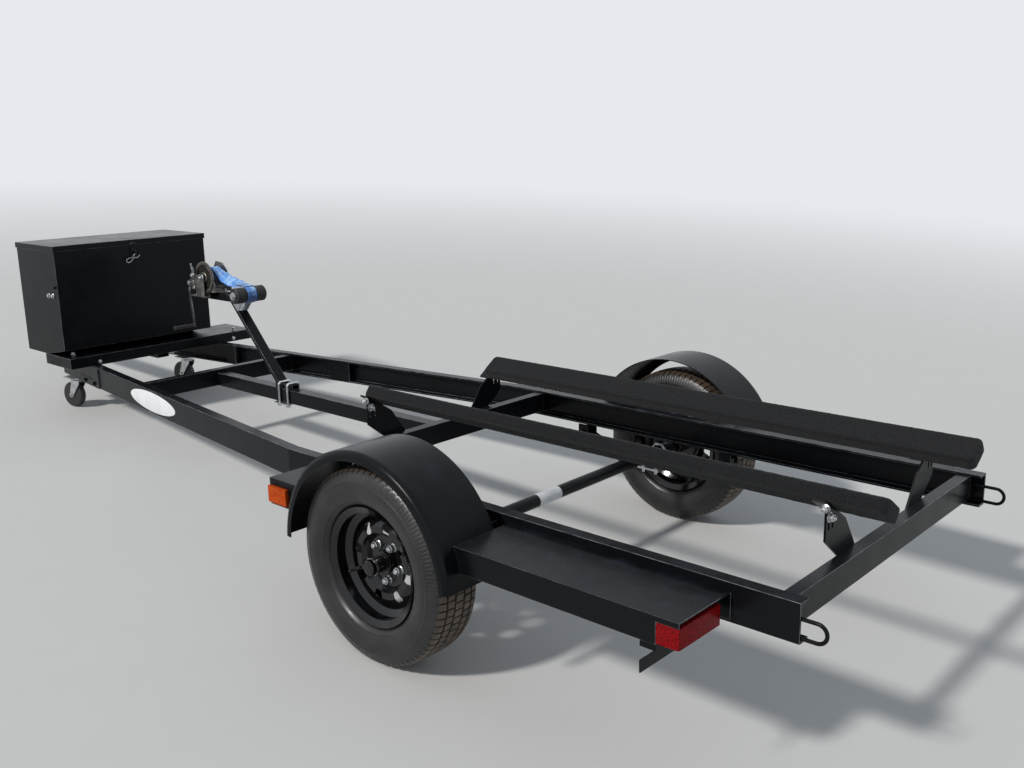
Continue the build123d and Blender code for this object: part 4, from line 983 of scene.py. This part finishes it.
# Hubs: profiles as (out from the wheel's middle, radius), and the circle of wheel nuts
hub_body = ((-70, 17.2), (-70, 33), (-68, 35), (-13, 35), (-13, 69), (-12, 70), (-5, 70), (-4.2, 69),
            (-4.2, 35), (12, 35), (18, 33.5), (19, 31), (19, 17.2))
hub_cap = ((19.2, 22), (19.2, 29), (23, 29.4), (24, 25), (60, 24.6), (61, 25), (69, 25), (73, 23.6),
           (75.4, 20), (76, 15))
hub_ring = ((56.0, 24.7), (56.0, 26.4), (60.5, 26.4), (60.5, 24.7))
nut_seat = ((-4, 6.6), (0.1, 6.6), (0.1, 13.0), (2, 13.4), (3, 12.12))
nut_head = ((2.6, 11.6), (3.6, 12.12), (16, 12.12), (17.2, 10.6), (21.5, 9.6), (24.2, 7.0), (25, 4.0))
nut_circle = 57.15
first_nut = 49


def make_hub(side, name):
    """Hub barrel and flange, dust cap with its ring, and bright wheel nuts with coned tips."""
    wheel = "wheel_" + name
    centre, out = (0, side * wheel_y, wheel_z), (0, side, 0)
    body = Form().turned(hub_body, centre, out, 64, closed=True)
    body.make("hub_body_" + name, "gloss_black", wheel, ("hub_" + name,), smooth=30)
    Form().turned(hub_cap, centre, out, 56).make("hub_cap_" + name, "gloss_black", wheel, smooth=25)
    Form().turned(hub_ring, centre, out, 56, closed=True).make("hub_ring_" + name, "bright_zinc", wheel)
    nuts = Form()
    for k in range(5):
        x, z = on_circle((0, wheel_z), nut_circle, first_nut + 72 * k)
        place = (x, side * wheel_y, z)
        nuts.turned(nut_seat, place, out, 24)
        nuts.turned(nut_head, place, out, 6, phase=math.pi / 6)
    nuts.make("wheel_nuts_" + name, "gloss_black", wheel, material=materials["bright_zinc"], smooth=25)


def make_hasp():
    """Black staple through the hasp, and the thin wire clip bent through it."""
    face, wall = 2619.8, 1.9
    y0, y1, z0, z1 = 68, 100, 942.5, 988.5
    eye_side, eye_wall = 81.2, 5.6
    clip_radius = 1.5
    staple = Form()
    staple.slab([(face, y, z) for y, z in ((y0, z0), (y1, z0), (y1, z1), (y0, z1))], (-wall, 0, 0))
    eye = ((2618, 975.0), (2604, 975.0), (2600.5, 977.2), (2599.5, 980.5), (2600.5, 983.8), (2604, 986.0),
           (2618, 986.0))
    staple.slab([(x, eye_side, z) for x, z in eye], (0, eye_wall, 0))
    staple.make("toolbox_staple_black", "black_paint", stands_for=("toolbox_staple",), bevel=0.6)
    wire = [(2601.5, 60, 966), (2601.0, 70, 959), (2601.0, 79, 955), (2600.5, 88, 957.5), (2600.2, 98, 951),
            (2600.0, 111, 939), (2600.4, 124, 935.5), (2601.0, 131, 941), (2601.4, 130, 949),
            (2601.6, 121, 955.5), (2601.8, 108, 957), (2602.0, 96, 962), (2602.4, 87, 972), (2602.8, 84, 983)]
    Form().tube(smooth_line(wire, 8), clip_radius, 10).make("hasp_clip", "bright_zinc")


# Welds: the crossmembers' middles and half depth, how far in from the rails' outer faces they end,
# and the ends and half width of the winch post's foot
cross_places = (-1162, 564, 2069)
cross_half = 19
weld_inset = 41.2
foot_ends = (1479, 1599)
foot_half = 19


def make_welds():
    """Beads where the crossmembers, steps, marker boxes and the post's foot meet the frame."""
    form = Form()
    for x in cross_places:
        end = rail_y(x) - weld_inset
        for side in (-1, 1):
            for face in (x - cross_half, x + cross_half):
                form.weld((face, side * end, 388), (face, side * end, 456), 3.0)
            form.weld((x - 18, side * end, 460.6), (x + 18, side * end, 460.6), 2.6)
    for side in (-1, 1):
        form.weld((-288, side * 612, 446), (-288, side * 660, 446), 2.6)
        form.weld((-1034, side * 606, 446.2), (-1034, side * 650, 446.2), 2.4)
        form.weld((402, side * 606.5, 450), (538, side * 606.5, 450), 2.4)
    for x in foot_ends:
        form.weld((x, -foot_half, 464), (x, foot_half, 464), 2.4)
    for side in (-1, 1):
        form.weld((1482, side * 19.6, 445), (1596, side * 19.6, 445), 2.4)
    form.make("weld_beads", "black_paint", smooth=60)


def make_stickers():
    """Plain pale oval on the near rail and a blank band round the axle."""
    mid_x, mid_z, half_long, half_high = 1886.0, 415.0, 236.0, 43.0
    start, end, inner, outer = 2, 116, 22.1, 22.5
    rings = []
    for lift, size in ((0.0, 1.0), (0.35, 0.998), (0.5, 0.99)):
        ring = []
        for k in range(96):
            t = 2 * math.pi * k / 96
            x = mid_x + half_long * size * math.cos(t)
            ring.append((x, rail_y(x) + 0.1 + lift, mid_z + half_high * size * math.sin(t)))
        rings.append(ring)
    Form().skin(rings).make("oval_plate", "black_paint", material=white_vinyl)
    band = ((start, inner), (start, outer), (end, outer), (end, inner))
    band = Form().turned(band, (0, 0, wheel_z), (0, 1, 0), 64, closed=True)
    band.make("axle_band", "black_paint", material=silver_vinyl)


# Plates with walls of 2.5 mm or more, which take a full round on each edge
plain_plates = ("rail_left", "rail_right", "step_left", "step_right", "toolbox_body", "toolbox_lid",
                "platform", "crossmembers", "keel", "tongue", "winch_post")
plate_round = 1.2
coupler_round = 0.9
weld_distance = 0.00001


def paint_nodes():
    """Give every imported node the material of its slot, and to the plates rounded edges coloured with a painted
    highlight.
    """
    for part in frame["record"]["subparts"]:
        shown = nodes[part["node"]]
        shown.data.materials.clear()
        shown.data.materials.append(materials[part["material_slot"]])
    nodes["winch_frame"].data.materials[0] = dull_zinc
    for name in plain_plates:
        joined = nodes[name].modifiers.new("joined", "WELD")
        joined.merge_threshold = weld_distance
        # The rounded edges take the painted edge highlight material.
        nodes[name].data.materials.append(edge_highlight_material)
        soften(nodes[name], plate_round, clamp=False)
        nodes[name].modifiers["edges"].material = 1
    soften(nodes["coupler"], coupler_round)


# Studio. The lamp stands where the photograph's shadows say the sun is.
sun_way = (0.17, 0.775, 0.61)
floor_colour = (0.66, 0.66, 0.655)
backdrop_colour = (0.79, 0.815, 0.85)
soft_colour = (0.86, 0.93, 1.0)
soft_strength = 0.42


def make_floor():
    """Plain pale floor at the height of the wheels, that turns into the backdrop far away."""
    reach, fade_start, fade_end = 90.0, 4.0, 14.0
    mesh = bpy.data.meshes.new("floor")
    corners = [(x * reach, y * reach, 0) for x, y in ((-1, -1), (1, -1), (1, 1), (-1, 1))]
    mesh.from_pydata(corners, [], [(0, 1, 2, 3)])
    floor = bpy.data.objects.new("floor", mesh)
    bpy.context.scene.collection.objects.link(floor)
    g = Graph("floor")
    clouded = tuple(c * 0.985 for c in floor_colour)
    colour = g.mix(g.patches(6.0, 6, 0.3, 0.7), clouded, floor_colour)
    g.finish(Base_Color=colour, Roughness=0.9, Specular_IOR_Level=0.1)
    far = g.length(g.axis(0), g.axis(1))
    glow = g.node("ShaderNodeEmission", Color=(*backdrop_colour, 1))
    fade = g.node("ShaderNodeMapRange", Value=far, From_Min=fade_start, From_Max=fade_end)
    fade.interpolation_type = "SMOOTHSTEP"
    mixed = g.node("ShaderNodeMixShader", Fac=fade.outputs["Result"])
    g.put(mixed.inputs[1], g.shader.outputs[0])
    g.put(mixed.inputs[2], glow.outputs[0])
    g.put(g.tree.nodes["Material Output"].inputs["Surface"], mixed.outputs[0])
    mesh.materials.append(g.material)


def make_world():
    """Even soft light, with the pale backdrop for camera, glossy and transmission rays."""
    world = bpy.data.worlds.new("studio")
    bpy.context.scene.world = world
    world.use_nodes = True
    tree = world.node_tree
    tree.nodes.clear()
    mix = tree.nodes.new("ShaderNodeMixShader")
    shades = ((soft_colour, soft_strength), (backdrop_colour, 1.0))
    for socket, (colour, strength) in zip(mix.inputs[1:], shades):
        shade = tree.nodes.new("ShaderNodeBackground")
        shade.inputs["Color"].default_value = (*colour, 1)
        shade.inputs["Strength"].default_value = strength
        tree.links.new(shade.outputs[0], socket)
    rays = tree.nodes.new("ShaderNodeLightPath").outputs
    shown = rays["Is Camera Ray"]
    for kind in ("Is Glossy Ray", "Is Transmission Ray"):
        either = tree.nodes.new("ShaderNodeMath")
        either.operation = "MAXIMUM"
        tree.links.new(shown, either.inputs[0])
        tree.links.new(rays[kind], either.inputs[1])
        shown = either.outputs[0]
    tree.links.new(shown, mix.inputs["Fac"])
    out = tree.nodes.new("ShaderNodeOutputWorld")
    tree.links.new(mix.outputs[0], out.inputs["Surface"])


def make_sun(name, from_way, strength, width, tint):
    """Sun lamp that shines from a direction. Its width in degrees softens the shadows."""
    data = bpy.data.lights.new(name, "SUN")
    data.energy = strength
    data.angle = math.radians(width)
    data.color = tint
    lamp = bpy.data.objects.new(name, data)
    bpy.context.scene.collection.objects.link(lamp)
    lamp.rotation_mode = "QUATERNION"
    lamp.rotation_quaternion = Vector(from_way).to_track_quat("Z", "Y")


make_camera()
make_floor()
make_world()
make_sun("key", sun_way, strength=2.4, width=5.0, tint=(1.0, 0.97, 0.93))
paint_nodes()
for side_sign, side_name in ((1, "left"), (-1, "right")):
    make_tyre(side_sign, side_name)
    make_wheel_trim(side_sign, side_name)
    make_hub(side_sign, side_name)
    make_bunk(side_sign, side_name)
make_wound_strap()
make_strap_run()
make_strap_end()
make_rollers()
make_gear()
make_pinion()
make_crank()
make_pawl()
make_hasp()
make_lenses()
make_platform_bolts()
make_box_bolts()
make_winch_bolts()
make_clamp_bolts()
make_welds()
make_stickers()

bpy.context.scene.view_settings.view_transform = "Standard"
